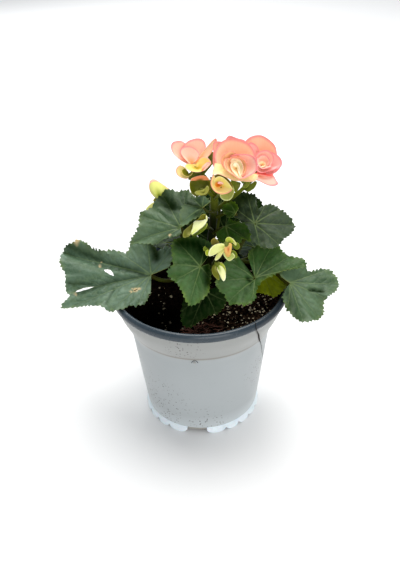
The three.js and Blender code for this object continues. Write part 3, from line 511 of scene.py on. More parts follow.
BUDS = {
    "bud_left_low": flower((-8.1, -2, 199.7), (-5, -2, 195), (
        petal("blushed", (3.2, -0.6, -1.6), -0.5, 0, (
            (4.2, -4, 0.4), (1, -4.6), (-2.4, -3.6), (-4.8, -1.4, 0), (-5.6, 1), (-4.6, 3.2), (-2.6, 4.6),
            (0, 3.6))),
        petal("olive", (3.2, -0.6, -1), -1.5, 0, (
            (0.4, 2.8, 0.4), (-1.8, 1.2, 1), (-1.4, -1.2, 1.6), (0.6, -3.2, 2), (3.2, -3.4),
            (5.6, -1.6, 1.6), (6.4, 1, 1))),
        petal("leafy", (6.6, -2.6, -2), 0.5, 0, (
            (3.8, -4, -0.4), (1.8, -3.6), (4, -0.6, -1), (8, 1), (12, 0.2), (9.8, -3.4))))),
    "bud_left": flower((2.2, -10, 193.1), (4, -7, 187.5), (
        petal("cup", (-0.2, -6, -2), -2.5, 0, (
            (-2.8, -6.6, -1), (-5.4, -4.8), (-6.6, -1.6), (-6.8, 1.6), (-6.2, 4.2), (-3.8, 5.2, -0.6),
            (0.2, 5.4, -0.4), (4.2, 5, -0.6), (6.4, 3.6, -1), (6.8, 0.6), (6.4, -3), (4.8, -5.6),
            (2.2, -6.8))),
        petal("band", (0.2, 3.8, -0.6), 0.3, 0, (
            (-6.2, 3.6, -0.4), (-5.8, 5, 0), (-3.4, 6, 0.2), (-0.4, 6.8, 0.4), (2.6, 6.8), (5.2, 5.8, 0),
            (6.6, 3.6, -0.4))),
        petal("lip", (2.2, -4.6, 0.6), 0.5, 0, (
            (-3.6, -4.2, 1), (-2, -3.2), (0.6, -3, 1.2), (2.6, -2.2), (4, -1), (4.4, 0, 1), (5.4, -0.2),
            (6, -2), (5.4, -4, 1.2), (4, -5.6, 1.4), (1.8, -6.4), (-0.8, -6.4), (-2.8, -5.6, 1.2),
            (-3.6, -4.2, 1))))),
    "bud_centre": flower((15.9, -16, 195.7), (16, -13, 187), (
        petal("undercup", (5, -2.4, -3), -1, 0.1, (
            (-1, -4.6, -1), (-0.6, -7.2), (1.4, -9.2), (4, -9.6), (6.4, -8.6), (8, -6, -1.2),
            (8.6, -3, -1.6), (7.8, 0.2, -2))),
        petal("umber", (0, -0.4, -3), -1, 0, (
            (-6.2, 0.2, -0.6), (-5.8, 4.2, -1), (-4.8, 6.6), (-2.6, 7.8), (0.6, 7.8), (3.8, 5.6),
            (6.6, 2.4, -0.6), (8.2, -1.2, 0))),
        petal("butter", (0, -0.8, -2), -1.2, 0, (
            (-4.8, -0.6, 0.4), (-4.6, 3), (-3.4, 5.4), (-1.4, 6.4), (1, 5.8), (4, 3.2, 0.8),
            (6.2, 0.2, 1.2), (7.6, -2.6, 1.6))),
        petal("bowl", (-1, 0.6, -2), -2, 0.2, (
            (-4.8, 7.6, 0.2), (-6.2, 4.8, 0.8), (-6.8, 1.2, 1.2), (-5.8, -1.8, 1.8), (-3.2, -4.6, 2.4),
            (0, -5.8, 2.6), (3.4, -5.4, 2.4), (6, -4.2, 2.2), (7.4, -2.6, 2))),
        petal("amber", (-1.6, 1, -1), -0.4, 0, (
            (-3, -1.2, 2), (-4, 0.2, 1.6), (-3.6, 2), (-2, 2.6), (0.2, 1.8, 1.8), (0.8, 0.4, 2),
            (-0.8, -1, 2.2), (-3, -1.2, 2))),
        petal("blush", (-0.8, 0.8, 0.4), 0.3, 0, (
            (-2.4, 1.8, 2), (-1.2, 2.8), (0.6, 2.4), (2, 1))))),
    "bud_far_left": flower((-27.7, 27, 172.2), (-19, 27, 160), (
        petal("tipped", (1.2, -5.8, 0), 2.5, 0, (
            (-0.6, -7.2, 0.2), (-4, -3.6, 0.8), (-6, 0, 1.2), (-6.4, 3.2), (-5.2, 6.4), (-3.4, 7.6, 1),
            (-0.6, 6.8, 1.2), (3.4, 4.2, 1), (7.2, 1.2, 0.4), (9.2, -1, 0))),
        petal("tipped", (2, -5.6, -0.6), -2.5, 0, (
            (9.2, -1, -0.6), (7.2, 1.4, -0.4), (3.2, 4.2), (-0.6, 7), (-3.4, 7.8, -0.2), (-5.4, 6.6, -0.4),
            (-6.4, 3.6), (-6.2, 0.2, -0.6), (-4.2, -3.4), (-0.6, -7))),
        petal("coral", (-2.4, 4.4, 1), 0.5, 0, (
            (-6.3, 3.2, 1.2), (-5.4, 6.6, 1.4), (-3.4, 7.8, 1.3), (-1, 7.1, 1.4), (0.4, 6.2))),
        petal("palegreen", (1, -11.2, -1.6), 1, 0, (
            (-0.4, -8, -1), (-4.2, -9), (-7.6, -11.4), (-9.2, -14.2), (-6.4, -17.2), (-1.2, -16.2))),
        petal("olive", (1.2, -7, -0.4), 0.4, 0, (
            (0.4, -9, 0), (-2.4, -8.6, 0.2), (-3.8, -7.4), (-2.4, -5.6), (0.6, -5, 0))))),
    "bud_front_large": flower((-1.8, -26, 172), (3, -24, 169), (
        petal("green", (-1.2, -6.8, -2), 0.4, 0, (
            (-2.2, -5.8, -1), (0.6, -4.2), (3.2, -2.2), (6, 0), (7.8, 2.2), (8.4, 1, -1.4), (7, -1.8, -1.6),
            (4.2, -4.2), (1.2, -6))),
        petal("golden", (5.2, 2.8, -1), -0.8, 0, (
            (-0.8, 2.6, -0.6), (1.2, 4.2, -0.8), (3, 5.4, -0.6), (4.2, 7.2), (6.4, 7.8), (7.8, 7),
            (7.8, 5, -0.4), (7, 3.2))),
        petal("moss", (-3, -5.8, -0.4), -0.8, 0, (
            (-0.6, 2.8, -0.6), (-3, 0.6), (-5.4, -1.2), (-7.4, -3), (-8, -4.8), (-7.8, -7.2),
            (-6, -7, -0.4), (-4.2, -6.6, -0.2))),
        petal("pale", (-2.6, -5.6, 0.2), 0.9, 0, (
            (-2.4, -4.2, 0.8), (-1.4, -1, 1.2), (-1, 2), (-0.4, 3.2), (2.8, 3.4), (5.6, 3.6),
            (7.4, 4.4, 0.8), (7.6, 2.4, 0.6), (6, 0), (3.2, -2.2), (0.6, -4.2), (-1.4, -5.4, 0.4))),
        petal("pale", (7.2, 3.4, 0.4), 0.2, 0, (
            (6.4, 3.4, 0.4), (7.4, 5.2, 0.2), (7.4, 7), (8.2, 6.2), (8.4, 4.2), (7.8, 2.4, 0.4))))),
    "bud_front_open": flower((16.8, -36, 159.8), (19, -34, 164), (
        petal("umber", (-4.2, 1.8, -2.4), 0.6, 0, (
            (-7.8, 3.2, -1.8), (-8.4, 5.4, -1.6), (-7.2, 7, -1.4), (-5.6, 7.4), (-3.8, 5.8, -1.6),
            (-2.6, 3.6, -1.8))),
        petal("lime", (-9, -0.8, -1.2), 0.4, 0, (
            (-10.2, -4.2, -0.6), (-11.6, -4, -0.4), (-12.4, -2.2), (-12, -0.8, -0.6), (-10.8, 0, -0.8))),
        petal("green", (-9.6, 0, -1.6), 0.2, 0, (
            (-12, -1.4, -1.4), (-13.4, -0.6), (-13.4, 1.4), (-12.4, 2.2))),
        petal("creamy", (1.4, 1.8, 0), 1, 0.1, (
            (1, 2.8, 0.4), (-1.2, 3.4, 1), (-4.4, 3.2, 1.6), (-7.4, 1.8, 2), (-9.4, -0.4), (-10.2, -2.6),
            (-10.2, -4.4), (-8, -4.2), (-5, -2.8, 1.6), (-2, -0.6, 1), (0.6, 0.8, 0.4))),
        petal("palegreen", (1.2, 1.2, -0.2), 0.5, 0, (
            (0.6, 1, 0.2), (-2.2, -1.2, 0.8), (-4.8, -3.8, 1.2), (-6.2, -7.4), (-5.4, -7.4), (-3.2, -5.8),
            (-0.8, -2.6, 0.6), (0.8, -0.4, 0.2))),
        petal("undercup", (2.6, -3.8, 0.2), -0.6, 0, (
            (-0.4, -2.4, 1), (-0.2, -4.2, 1.2), (1.2, -6.4, 1.6), (3, -8), (5.4, -7), (7, -5),
            (5.6, -2.8, 1.2))),
        petal("column", (2.8, -0.6, 0), 0.8, 0, (
            (0.4, 2.6, 0.8), (0, 0, 1), (0.6, -3.2), (1.8, -5.4), (3.6, -5), (4.4, -2.2, 0.8), (5, 1),
            (5, 3.4, 0.6), (2.8, 3.6), (0.4, 2.6, 0.8))),
        petal("lime", (3.8, 4, 0), 0.8, 0, (
            (1, 4.4, 0.8), (1.4, 6.8), (3.4, 7.8), (5.4, 6.8), (6.4, 5.2), (5.4, 3.8, 1))),
        petal("palegreen", (5.6, 4.8, 0.4), 0.3, 0, (
            (3.8, 7.8, 0.8), (6.2, 6.4), (8, 4), (9, 1.6, 0.4), (7.6, 2, 0.8), (5.8, 3.8))),
        petal("green", (7.6, 1.8, -0.2), 0.4, 0, (
            (5.8, 3.4, 0.2), (6.6, 0.6), (8.6, -0.4), (10.2, 0.8, 0), (9.8, 3), (8.2, 4))),
        petal("green", (5.8, -3.8, -0.2), 0.4, 0, (
            (4.2, -2.2, 0.2), (5.2, -1), (7.4, -1.8), (8.6, -4), (8.2, -6, 0.4), (6.6, -6.2))))),
    "bud_front_drop": flower((13.3, -37, 143.3), (12, -36, 150), (
        petal("lime", (0, 3, -0.6), 1.2, 0, (
            (-3, 3.2, -0.2), (-2.4, 5.2, 0), (-0.4, 6), (2, 5.6), (3.8, 3.6), (4.6, 0.8), (4.6, -2.2))),
        petal("tipped_green", (-1, 3.4, 0), 1.4, 0, (
            (-2, 3.2, 0.6), (-0.6, 3.8, 0.8), (1.8, 3.4), (3.4, 1.4), (4.4, -1.8), (4.2, -5.4), (3.2, -7),
            (1.8, -5.8), (0.2, -2.4), (-1.2, 1))),
        petal("moss", (-1.8, 3.2, -0.8), 0.5, 0, (
            (-3, 4.4, -0.2), (-4.4, 2.2, 0), (-4.6, -0.6), (-3.4, -3), (-1.2, -5.4), (-0.2, -6.2),
            (0, -3.4), (-1, 0.2))))),
}

# Green bracts where the right bloom's stalk leaves the stem
BRACTS_FACE = (31.4, 2, 186.1)
BRACTS = (
    petal("leafy", (-1.2, 2.2, -1), 0.5, 0, (
        (-8, 4.6, 0), (-7.8, 1.6), (-6.8, -1.4), (-5, -4.2), (-3.4, -2), (-2, 0))),
    petal("leafy", (0.8, -2.6, -1), 0.6, 0, (
        (3, -4.2, 0), (5.8, -2.8), (8.2, -0.8, 0.4), (9.4, 2.4, 1), (8.4, 3), (6.6, 1.2, 0.4),
        (4.8, -0.4, 0), (2.8, -0.4))),
    petal("green", (0, 1.4, 0), 0.5, 0, (
        (-2, 3.4, 1), (1.4, 3.6, 1.2), (4.8, 3.2, 1), (4.4, 1.2), (2.4, -1.2, 0.8), (-0.6, -0.8))))

# The photograph's view: distance, height angle and roll of the camera, and what it looks at
VIEW_DISTANCE = 0.560
VIEW_HEIGHT = 34.05
VIEW_ROLL = 1.6
VIEW_TARGET = (0.00041, 0.0, 0.10745)
VIEW_LENS = 48.19
SENSOR = 36

# Stage, in metres. Lights: name, place, size, share of the key light's power, colour
FLOOR_HALF = 4.0
AIR_COLOUR = (0.93, 0.96, 1.0)
AIR_STRENGTH = 0.42
LIGHTS = (
    ("light_key", (0.15, 0.25, 1.2), 1.0, 1.0, (1.0, 0.99, 0.97)),
    ("light_fill", (0.3, -1.15, 0.5), 0.9, 0.42, (1.0, 0.99, 0.97)),
    ("light_back", (-0.3, 1.0, 0.7), 0.9, 0.35, (0.97, 0.99, 1.0)),
)


# Helpers for points, faces and objects

def direction(azimuth, elevation):
    """Unit vector from a compass angle and a height angle in degrees."""
    flat = math.cos(math.radians(elevation))
    return np.array([
        flat * math.cos(math.radians(azimuth)),
        flat * math.sin(math.radians(azimuth)),
        math.sin(math.radians(elevation)),
    ])


def unit(vector):
    """The vector at length one."""
    return vector / max(np.linalg.norm(vector), 1e-9)


def smooth_step(value, low, high):
    """Rises softly from 0 at low to 1 at high."""
    share = np.clip((np.asarray(value, float) - low) / (high - low), 0, 1)
    return share * share * (3 - 2 * share)


def bell(distance, width, power=2):
    """Falls from 1 at no distance towards 0 beyond a width."""
    return np.exp(-((distance / width) ** power))


def ring(radius, height, sides):
    """Points of a level ring round the pot's axis."""
    turns = np.linspace(0, 2 * math.pi, sides, endpoint=False)
    return [(radius * math.cos(turn), radius * math.sin(turn), height) for turn in turns]


def band_faces(rings, sides, first=0):
    """Four-sided faces between rings of points, each ring closed on itself."""
    faces = []
    for start in range(first, first + (rings - 1) * sides, sides):
        for k in range(sides):
            a, b = start + k, start + (k + 1) % sides
            faces.append((a, b, b + sides, a + sides))
    return faces


def closed_body(first, rings, last):
    """Points and faces of a body of rings that a point closes at either end."""
    sides = len(rings[0])
    points = np.vstack([[first], *rings, [last]])
    top = 1 + (len(rings) - 1) * sides
    faces = [(0, 1 + (k + 1) % sides, 1 + k) for k in range(sides)]
    faces += band_faces(len(rings), sides, 1)
    faces += [(top + k, top + (k + 1) % sides, len(points) - 1) for k in range(sides)]
    return points, faces


def linked(name, data):
    """A new object in the scene."""
    made = bpy.data.objects.new(name, data)
    bpy.context.scene.collection.objects.link(made)
    return made


def finished_mesh(thing):
    """A new plain mesh of the object with its modifiers applied."""
    graph = bpy.context.evaluated_depsgraph_get()
    return bpy.data.meshes.new_from_object(thing.evaluated_get(graph))


def discard(thing):
    """Removes a helper object and its mesh."""
    mesh = thing.data
    bpy.data.objects.remove(thing)
    bpy.data.meshes.remove(mesh)


def curve_through(points, places):
    """A centripetal Catmull-Rom curve through points, read at places from 0 to 1."""
    knots = np.asarray(points, float)
    last = len(knots) - 1
    padded = np.vstack([2 * knots[0] - knots[1], knots, 2 * knots[-1] - knots[-2]])
    place = np.clip(np.asarray(places, float) * last, 0, last - 1e-9)
    start = place.astype(int)
    share = (place - start)[:, None]
    p0, p1, p2, p3 = (padded[start + k] for k in range(4))
    d0, d1, d2 = (
        np.sqrt(np.linalg.norm(b - a, axis=1, keepdims=True)).clip(1e-4)
        for a, b in ((p0, p1), (p1, p2), (p2, p3)))
    leave = ((p1 - p0) / d0 - (p2 - p0) / (d0 + d1) + (p2 - p1) / d1) * d1
    reach = ((p2 - p1) / d1 - (p3 - p1) / (d1 + d2) + (p3 - p2) / d2) * d1
    square = -3 * p1 + 3 * p2 - 2 * leave - reach
    cube = 2 * p1 - 2 * p2 + leave + reach
    return p1 + leave * share + square * share**2 + cube * share**3


def respaced(line, step=None, count=None):
    """Points at even distances along a line, by their step or their count."""
    lengths = np.concatenate([[0], np.cumsum(np.linalg.norm(np.diff(line, axis=0), axis=1))])
    count = count or max(3, round(lengths[-1] / step) + 1)
    wanted = np.linspace(0, lengths[-1], count)
    return np.stack([np.interp(wanted, lengths, line[:, k]) for k in range(line.shape[1])], axis=1)


def even_curve(points, step):
    """The curve through points, sampled at even steps of its length."""
    return respaced(curve_through(points, np.linspace(0, 1, CURVE_SAMPLES * len(points))), step)


class Shape:
    """Points, faces and named point values that grow into one mesh. Points are in millimetres."""

    def __init__(self, *names):
        self.points = []
        self.faces = []
        self.paint = []
        self.values = {name: [] for name in names}
        self.count = 0

    def add(self, points, faces, paint=0, **values):
        """Adds points and faces, painted with one material or one for each face."""
        points = np.asarray(points, float)
        self.points.append(points)
        self.faces += [tuple(int(corner) + self.count for corner in face) for face in faces]
        self.paint += [paint] * len(faces) if isinstance(paint, int) else list(paint)
        for name, kept in self.values.items():
            size = (len(points), 3) if name == "tint" else len(points)
            kept.append(np.broadcast_to(values.get(name, 0.0), size))
        self.count += len(points)

    def build(self, name, materials, sharp=50):
        """The Blender object, in metres, with smooth faces and sharp edges past an angle."""
        mesh = bpy.data.meshes.new(name)
        mesh.from_pydata((np.vstack(self.points) * MM).tolist(), [], self.faces)
        for material in materials:
            mesh.materials.append(material)
        mesh.polygons.foreach_set("material_index", self.paint)
        mesh.polygons.foreach_set("use_smooth", [True] * len(self.faces))
        for label, kept in self.values.items():
            if label == "tint":
                shades = np.column_stack([np.vstack(kept), np.ones(self.count)])
                mesh.attributes.new(label, "FLOAT_COLOR", "POINT").data.foreach_set("color", shades.ravel())
            else:
                mesh.attributes.new(label, "FLOAT", "POINT").data.foreach_set("value", np.concatenate(kept))
        mesh.update()
        mesh.set_sharp_from_angle(angle=math.radians(sharp))
        return linked(name, mesh)


def tube(path, radii, sides):
    """Points and faces of a closed round tube along a path."""
    path = np.asarray(path, float)
    radii = np.broadcast_to(radii, len(path))
    tangents = np.gradient(path, axis=0)
    side = unit(np.cross(tangents[0], (0.31, 0.77, 0.55)))
    rings = []
    turns = np.linspace(0, 2 * math.pi, sides, endpoint=False)
    for centre, tangent, radius in zip(path, tangents, radii):
        along = unit(tangent)
        side = unit(side - along * (side @ along))
        up = np.cross(along, side)
        rings.append(centre + radius * (np.outer(np.cos(turns), side) + np.outer(np.sin(turns), up)))
    return closed_body(path[0], rings, path[-1])


def inside(points, outline):
    """Which points lie inside a closed outline."""
    x, y = points[:, :1], points[:, 1:2]
    ax, ay = outline[:, 0], outline[:, 1]
    bx, by = np.roll(ax, -1), np.roll(ay, -1)
    rise = np.where(by == ay, 1e-12, by - ay)
    crossing = ((ay > y) != (by > y)) & (x < (bx - ax) * (y - ay) / rise + ax)
    return crossing.sum(axis=1) % 2 == 1


# Materials: nodes for colour, roughness and bump

def add_node(tree, kind, inputs=None, **settings):
    """Adds a node with its settings. Its inputs are numbers, vectors, colours or other nodes' outputs."""
    node = tree.nodes.new(kind)
    for label, value in settings.items():
        setattr(node, label, value)
    for label, item in (inputs or {}).items():
        socket = node.inputs[label]
        if isinstance(item, bpy.types.NodeSocket):
            tree.links.new(item, socket)
        else:
            socket.default_value = (*item, 1) if socket.type == "RGBA" else item
    return node


class Nodes:
    """A new material with its Principled shader and short ways to add nodes."""

    def __init__(self, name, **sockets):
        self.material = bpy.data.materials.new(name)
        self.material.use_nodes = True
        self.tree = self.material.node_tree
        self.shader = self.tree.nodes["Principled BSDF"]
        for label, value in sockets.items():
            self.shader.inputs[label.replace("_", " ")].default_value = value
        self.place = self.add("TexCoord", "Object")

    def add(self, kind, output, inputs=None, **settings):
        """Adds a shader node and hands out one of its outputs."""
        return add_node(self.tree, "ShaderNode" + kind, inputs, **settings).outputs[output]

    def noise(self, scale, detail=3.0, roughness=0.5, at=None):
        return self.add("TexNoise", "Fac", {
            "Scale": scale, "Detail": detail, "Roughness": roughness, "Vector": at or self.place})

    def cells(self, scale, feature="DISTANCE_TO_EDGE"):
        return self.add("TexVoronoi", "Distance", {"Scale": scale, "Vector": self.place}, feature=feature)

    def value(self, name, output="Fac"):
        return self.add("Attribute", output, attribute_name=name)

    def height(self):
        return self.add("SeparateXYZ", "Z", {"Vector": self.place})

    def near(self, centre, radius):
        """Falls from 1 at a point to 0 at a distance from it."""
        gap = self.add("VectorMath", "Value", {0: self.place, 1: centre}, operation="DISTANCE")
        return self.ranged(gap, 0.3 * radius, radius, 1, 0)

    def ranged(self, source, low, high, to_low=0.0, to_high=1.0):
        return self.add("MapRange", "Result", {
            "Value": source, "From Min": low, "From Max": high, "To Min": to_low, "To Max": to_high})

    def maths(self, operation, first, second):
        return self.add("Math", "Value", {0: first, 1: second}, operation=operation)

    def mix(self, share, first, second, blend="MIX"):
        """Two colours mixed. The node's colour sockets are known by their places only."""
        factor, a_colour, b_colour, result = 0, 6, 7, 2
        inputs = {factor: share, a_colour: first, b_colour: second}
        return self.add("Mix", result, inputs, data_type="RGBA", blend_type=blend)

    def rough(self, scale, detail, low, high):
        """A roughness that wanders between two values."""
        return self.ranged(self.noise(scale, detail), 0.3, 0.7, low, high)

    def bump(self, height, strength, distance, before=None):
        inputs = {"Height": height, "Strength": strength, "Distance": distance}
        if before:
            inputs["Normal"] = before
        return self.add("Bump", "Normal", inputs)

    def grain(self, scale, detail, strength, distance, before=None):
        """Fine bumps."""
        return self.bump(self.noise(scale, detail), strength, distance, before)

    def link(self, source, label):
        """Feeds one of the shader's own sockets."""
        self.tree.links.new(source, self.shader.inputs[label])

    def finish(self, colour, roughness=None, normal=None):
        for label, source in (("Base Color", colour), ("Roughness", roughness), ("Normal", normal)):
            if source:
                self.link(source, label)
        return self.material


def declare(piece, node):
    """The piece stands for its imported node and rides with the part."""
    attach(piece, BODY)
    if node:
        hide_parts(node)
    return piece


# Settings that a user would change

class PotLook(bpy.types.PropertyGroup):
    """Colours and dirt of the pot."""
    wall: colour_property("Wall", "Colour of the moulded wall", srgb(160, 166, 168))
    collar: colour_property("Collar", "Colour of the flared collar under the rim", srgb(149, 151, 149))
    rim: colour_property("Rim", "Colour of the rolled rim and the inside", srgb(44, 57, 66))
    feet: colour_property("Feet", "Colour of the scalloped foot ring", srgb(236, 248, 255))
    # Painted shade: the line under the collar's step and the recessed base
    painted_shadow: colour_property("Shadow", "Colour of the ledge line and the recessed base", srgb(132, 130, 124))
    dirt: colour_property("Dirt", "Colour of the soil specks on the wall", srgb(52, 40, 32))


class SoilLook(bpy.types.PropertyGroup):
    """Colours and grain sizes of the soil."""
    peat: colour_property("Peat", "Colour of the compost", srgb(8, 6, 5))
    perlite: colour_property("Perlite", "Colour of the perlite beads", srgb(170, 160, 136))
    fibre: colour_property("Fibres", "Colour of the coir fibres", srgb(96, 62, 52))
    crumb: length_property("Crumb size", "Size of the largest crumb", 0.0026)
    bead: length_property("Bead size", "Size of the largest perlite bead", 0.0030)


class StemLook(bpy.types.PropertyGroup):
    """Colours of stems and stalks."""
    stem: colour_property("Stem", "Colour of the stems", srgb(18, 27, 0))
    flush: colour_property("Flush", "Reddish colour on older stems", srgb(46, 30, 10))
    young: colour_property("Young", "Colour of the young upper shoots", srgb(92, 102, 22))


class LeafLook(bpy.types.PropertyGroup):
    """Shape and colours of the leaves."""
    thickness: length_property("Thickness", "Thickness of a blade", 0.0006)
    tooth: length_property("Tooth", "Height of a margin tooth", 0.0013)
    spacing: length_property("Tooth spacing", "Mean distance between margin teeth", 0.0031)
    grain: length_property("Grain", "Mesh size inside a blade", 0.00135)
    vein: colour_property("Veins", "Colour of the veins", srgb(128, 150, 92))
    dry: colour_property("Dry", "Colour of dried spots", srgb(214, 188, 140))
    stalk: colour_property("Stalk", "Colour of the leaf stalks", srgb(54, 62, 12))


class PetalLook(bpy.types.PropertyGroup):
    """Shape of petals."""
    thickness: length_property("Thickness", "Thickness of a petal", 0.00045)
    across: IntProperty(name="Across", description="Mesh steps across a petal", default=22, min=4)
    along: IntProperty(name="Along", description="Mesh steps along a petal", default=18, min=4)


class StageLook(bpy.types.PropertyGroup):
    """Floor and light."""
    floor: colour_property("Floor", "Colour of the pale floor", (0.86, 0.86, 0.86))
    key: FloatProperty(
        name="Key light", description="Power of the main light", default=16.0, min=0, unit="POWER")


# Pot

def pot_profile():
    """The pot's section as runs of points, each with the place of its material in the pot's list."""
    wall_foot = LEDGE_RADIUS - LEDGE_STEP
    wall_start = (BASE_RADIUS + 0.5, BASE_HEIGHT + 3)
    recess = BASE_RADIUS - 1.7
    base = [(0, FLOOR_UNDERSIDE), (recess, FLOOR_UNDERSIDE), (recess, BASE_HEIGHT - 0.6)]
    corner = [(BASE_RADIUS - 0.9, BASE_HEIGHT - 0.45), (BASE_RADIUS - 0.1, BASE_HEIGHT + 0.1),
              (BASE_RADIUS + 0.3, BASE_HEIGHT + 1.6), wall_start]
    wall = [wall_start, (wall_foot - 0.05, LEDGE_HEIGHT - 1.6)]
    ledge = [(wall_foot + 0.25, LEDGE_HEIGHT - 1.1), (LEDGE_RADIUS - 0.35, LEDGE_HEIGHT - 0.75),
             (LEDGE_RADIUS, LEDGE_HEIGHT - 0.1)]
    collar = [(LEDGE_RADIUS + 0.25, LEDGE_HEIGHT + 0.6), (57.4, 88), (COLLAR_RADIUS, COLLAR_HEIGHT),
              (61.9, 102.4)]
    within = [(COLLAR_RADIUS - WALL, COLLAR_HEIGHT), (wall_foot - WALL, LEDGE_HEIGHT - 1),
              (BASE_RADIUS - WALL, BASE_HEIGHT + 2.5), (0, FLOOR_TOP)]
    corner, wall, collar, rim = (
        curve_through(run, np.linspace(0, 1, count))
        for run, count in ((corner, 9), (wall, 14), (collar, 16), (RIM_SECTION, 34)))
    return (
        # The recessed base, the ledge and the lowest strip of the collar take the painted shade
        (PAINTED_SHADOW_SKIN, base), (WALL_SKIN, corner), (WALL_SKIN, wall[1:]), (PAINTED_SHADOW_SKIN, ledge),
        (PAINTED_SHADOW_SKIN, collar[:2]), (COLLAR_SKIN, collar[2:]), (RIM_SKIN, rim), (RIM_SKIN, within))


def revolve(shape, runs, sides):
    """A closed body of revolution from the runs of its section, from axis to axis."""
    section = [tuple(point) for _, run in runs for point in run]
    paint_of = [paint for paint, run in runs for _ in run]
    (_, low), *between, (_, high) = section
    rings = [ring(radius, height, sides) for radius, height in between]
    points, faces = closed_body((0, 0, low), rings, (0, 0, high))
    paint = [paint_of[0], *paint_of[2:-1], paint_of[-1]]
    shape.add(points, faces, [each for each in paint for _ in range(sides)])


def foot_group(shape, start, paint):
    """One group of scallops: a low curved wall whose lower edge and face swell at each lobe."""
    marks = []
    angle = start
    for width in FOOT_LOBES:
        for share in np.linspace(0, 1, LOBE_STEPS, endpoint=False):
            marks.append((angle + share * width, math.sin(math.pi * share)))
        angle += width
    marks.append((angle, 0.0))
    points = []
    top = BASE_HEIGHT + 0.1
    for turn, lobe in marks:
        low = SCALLOP_RISE * (1 - min(1.0, 1.25 * lobe) ** 0.6)
        outer = FOOT_OUTSIDE - 0.7 + 0.65 * min(1.0, 1.5 * lobe)
        section = ((FOOT_OUTSIDE - 2.6, top), (outer - 0.5, low + 0.62 * (top - low)), (outer, low + 0.5),
                   (outer - 0.35, low), (FOOT_INSIDE + 0.3, low), (FOOT_INSIDE, low + 0.5),
                   (FOOT_INSIDE - 0.6, top))
        out = direction(turn, 0)
        points += [(radius * out[0], radius * out[1], height) for radius, height in section]
    size = len(section)
    faces = band_faces(len(marks), size)
    faces.append(tuple(range(size - 1, -1, -1)))
    faces.append(tuple(range(len(points) - size, len(points))))
    shape.add(points, faces, paint)


def wall_material(name, colour, dirt):
    """Moulded matt plastic with painted light that makes it paler towards its foot, soft stains and splashes
    of soil.
    """
    nodes = Nodes(name, Sheen_Weight=0.3, Sheen_Roughness=0.5, IOR=1.46)
    height = nodes.height()
    stains = nodes.ranged(nodes.noise(26, 5, 0.6), 0.45, 0.8, 0, 0.22)
    stains_and_painted_light = nodes.mix(stains, colour, times(colour, 0.78))
    # Painted light: paler towards the pot's foot, against the shade near the floor
    for start, end, most, paler in ((0.075, 0.012, 0.45, 1.35), (0.018, 0.006, 0.7, 1.75)):
        stains_and_painted_light = nodes.mix(nodes.ranged(height, start, end, 0, most), stains_and_painted_light, times(colour, paler))
    specks = nodes.ranged(nodes.cells(470, "F1"), 0.2, 0.27, 1, 0)
    splashed = nodes.ranged(nodes.noise(30, 2), 0.66, 0.72, 0, 0.6)
    for centre, radius in SPLASHES:
        splashed = nodes.maths("MAXIMUM", splashed, nodes.near(times(centre, MM), MM * radius))
    scattered = nodes.ranged(nodes.noise(260, 2), 0.44, 0.5)
    amount = nodes.maths("MULTIPLY", nodes.maths("MULTIPLY", specks, scattered), splashed)
    dirty = nodes.mix(amount, stains_and_painted_light, dirt)
    return nodes.finish(dirty, nodes.rough(60, 4, 0.42, 0.6), nodes.grain(1500, 2, 0.08, 0.0001))


def rim_material(look):
    """Dark blue-grey moulded plastic with a soft gloss and dust; painted shade makes it darker and duller
    under the right leaves.
    """
    nodes = Nodes("pot_rim", IOR=1.48)
    dust = nodes.ranged(nodes.noise(90, 5, 0.65), 0.5, 0.85, 0, 0.1)
    colour = nodes.mix(dust, look.rim, srgb(120, 122, 120))
    # Painted shade at the right, under the leaves: darker colour and less gloss
    shaded = nodes.near((0.06, -0.01, 0.107), 0.06)
    colour = nodes.mix(shaded, colour, times(look.rim, 0.3))
    nodes.link(nodes.ranged(shaded, 0, 1, 0.5, 0.05), "Specular IOR Level")
    return nodes.finish(colour, nodes.rough(140, 4, 0.2, 0.3), nodes.grain(900, 2, 0.06, 0.0001))


def foot_material(look):
    """Milky plastic, thinner and clearer than the wall, with patchy grime."""
    nodes = Nodes("pot_feet", Subsurface_Weight=0.1, Subsurface_Scale=0.001, Sheen_Weight=0.3, IOR=1.46)
    grime = nodes.ranged(nodes.noise(130, 5, 0.6), 0.55, 0.8, 0, 0.3)
    colour = nodes.mix(grime, look.feet, srgb(150, 166, 176))
    return nodes.finish(colour, nodes.rough(200, 3, 0.25, 0.45), nodes.grain(500, 3, 0.12, 0.0002))


def drilled(body):
    """Points, faces and paint of the body with the drainage holes cut through its floor."""
    cutters = Shape()
    for k in range(DRAIN_HOLES):
        middle = DRAIN_CIRCLE * direction(45 + k * 360 / DRAIN_HOLES, 0)
        ends = middle + [(0, 0, FLOOR_UNDERSIDE - 1), (0, 0, FLOOR_TOP + 4)]
        cutters.add(*tube(ends, DRAIN_RADIUS, 24))
    cutter = cutters.build("drills", [])
    body.modifiers.new("drill", "BOOLEAN").object = cutter
    mesh = finished_mesh(body)
    points = [vertex.co / MM for vertex in mesh.vertices]
    faces = [tuple(face.vertices) for face in mesh.polygons]
    paint = [face.material_index for face in mesh.polygons]
    bpy.data.meshes.remove(mesh)
    discard(body)
    discard(cutter)
    return points, faces, paint


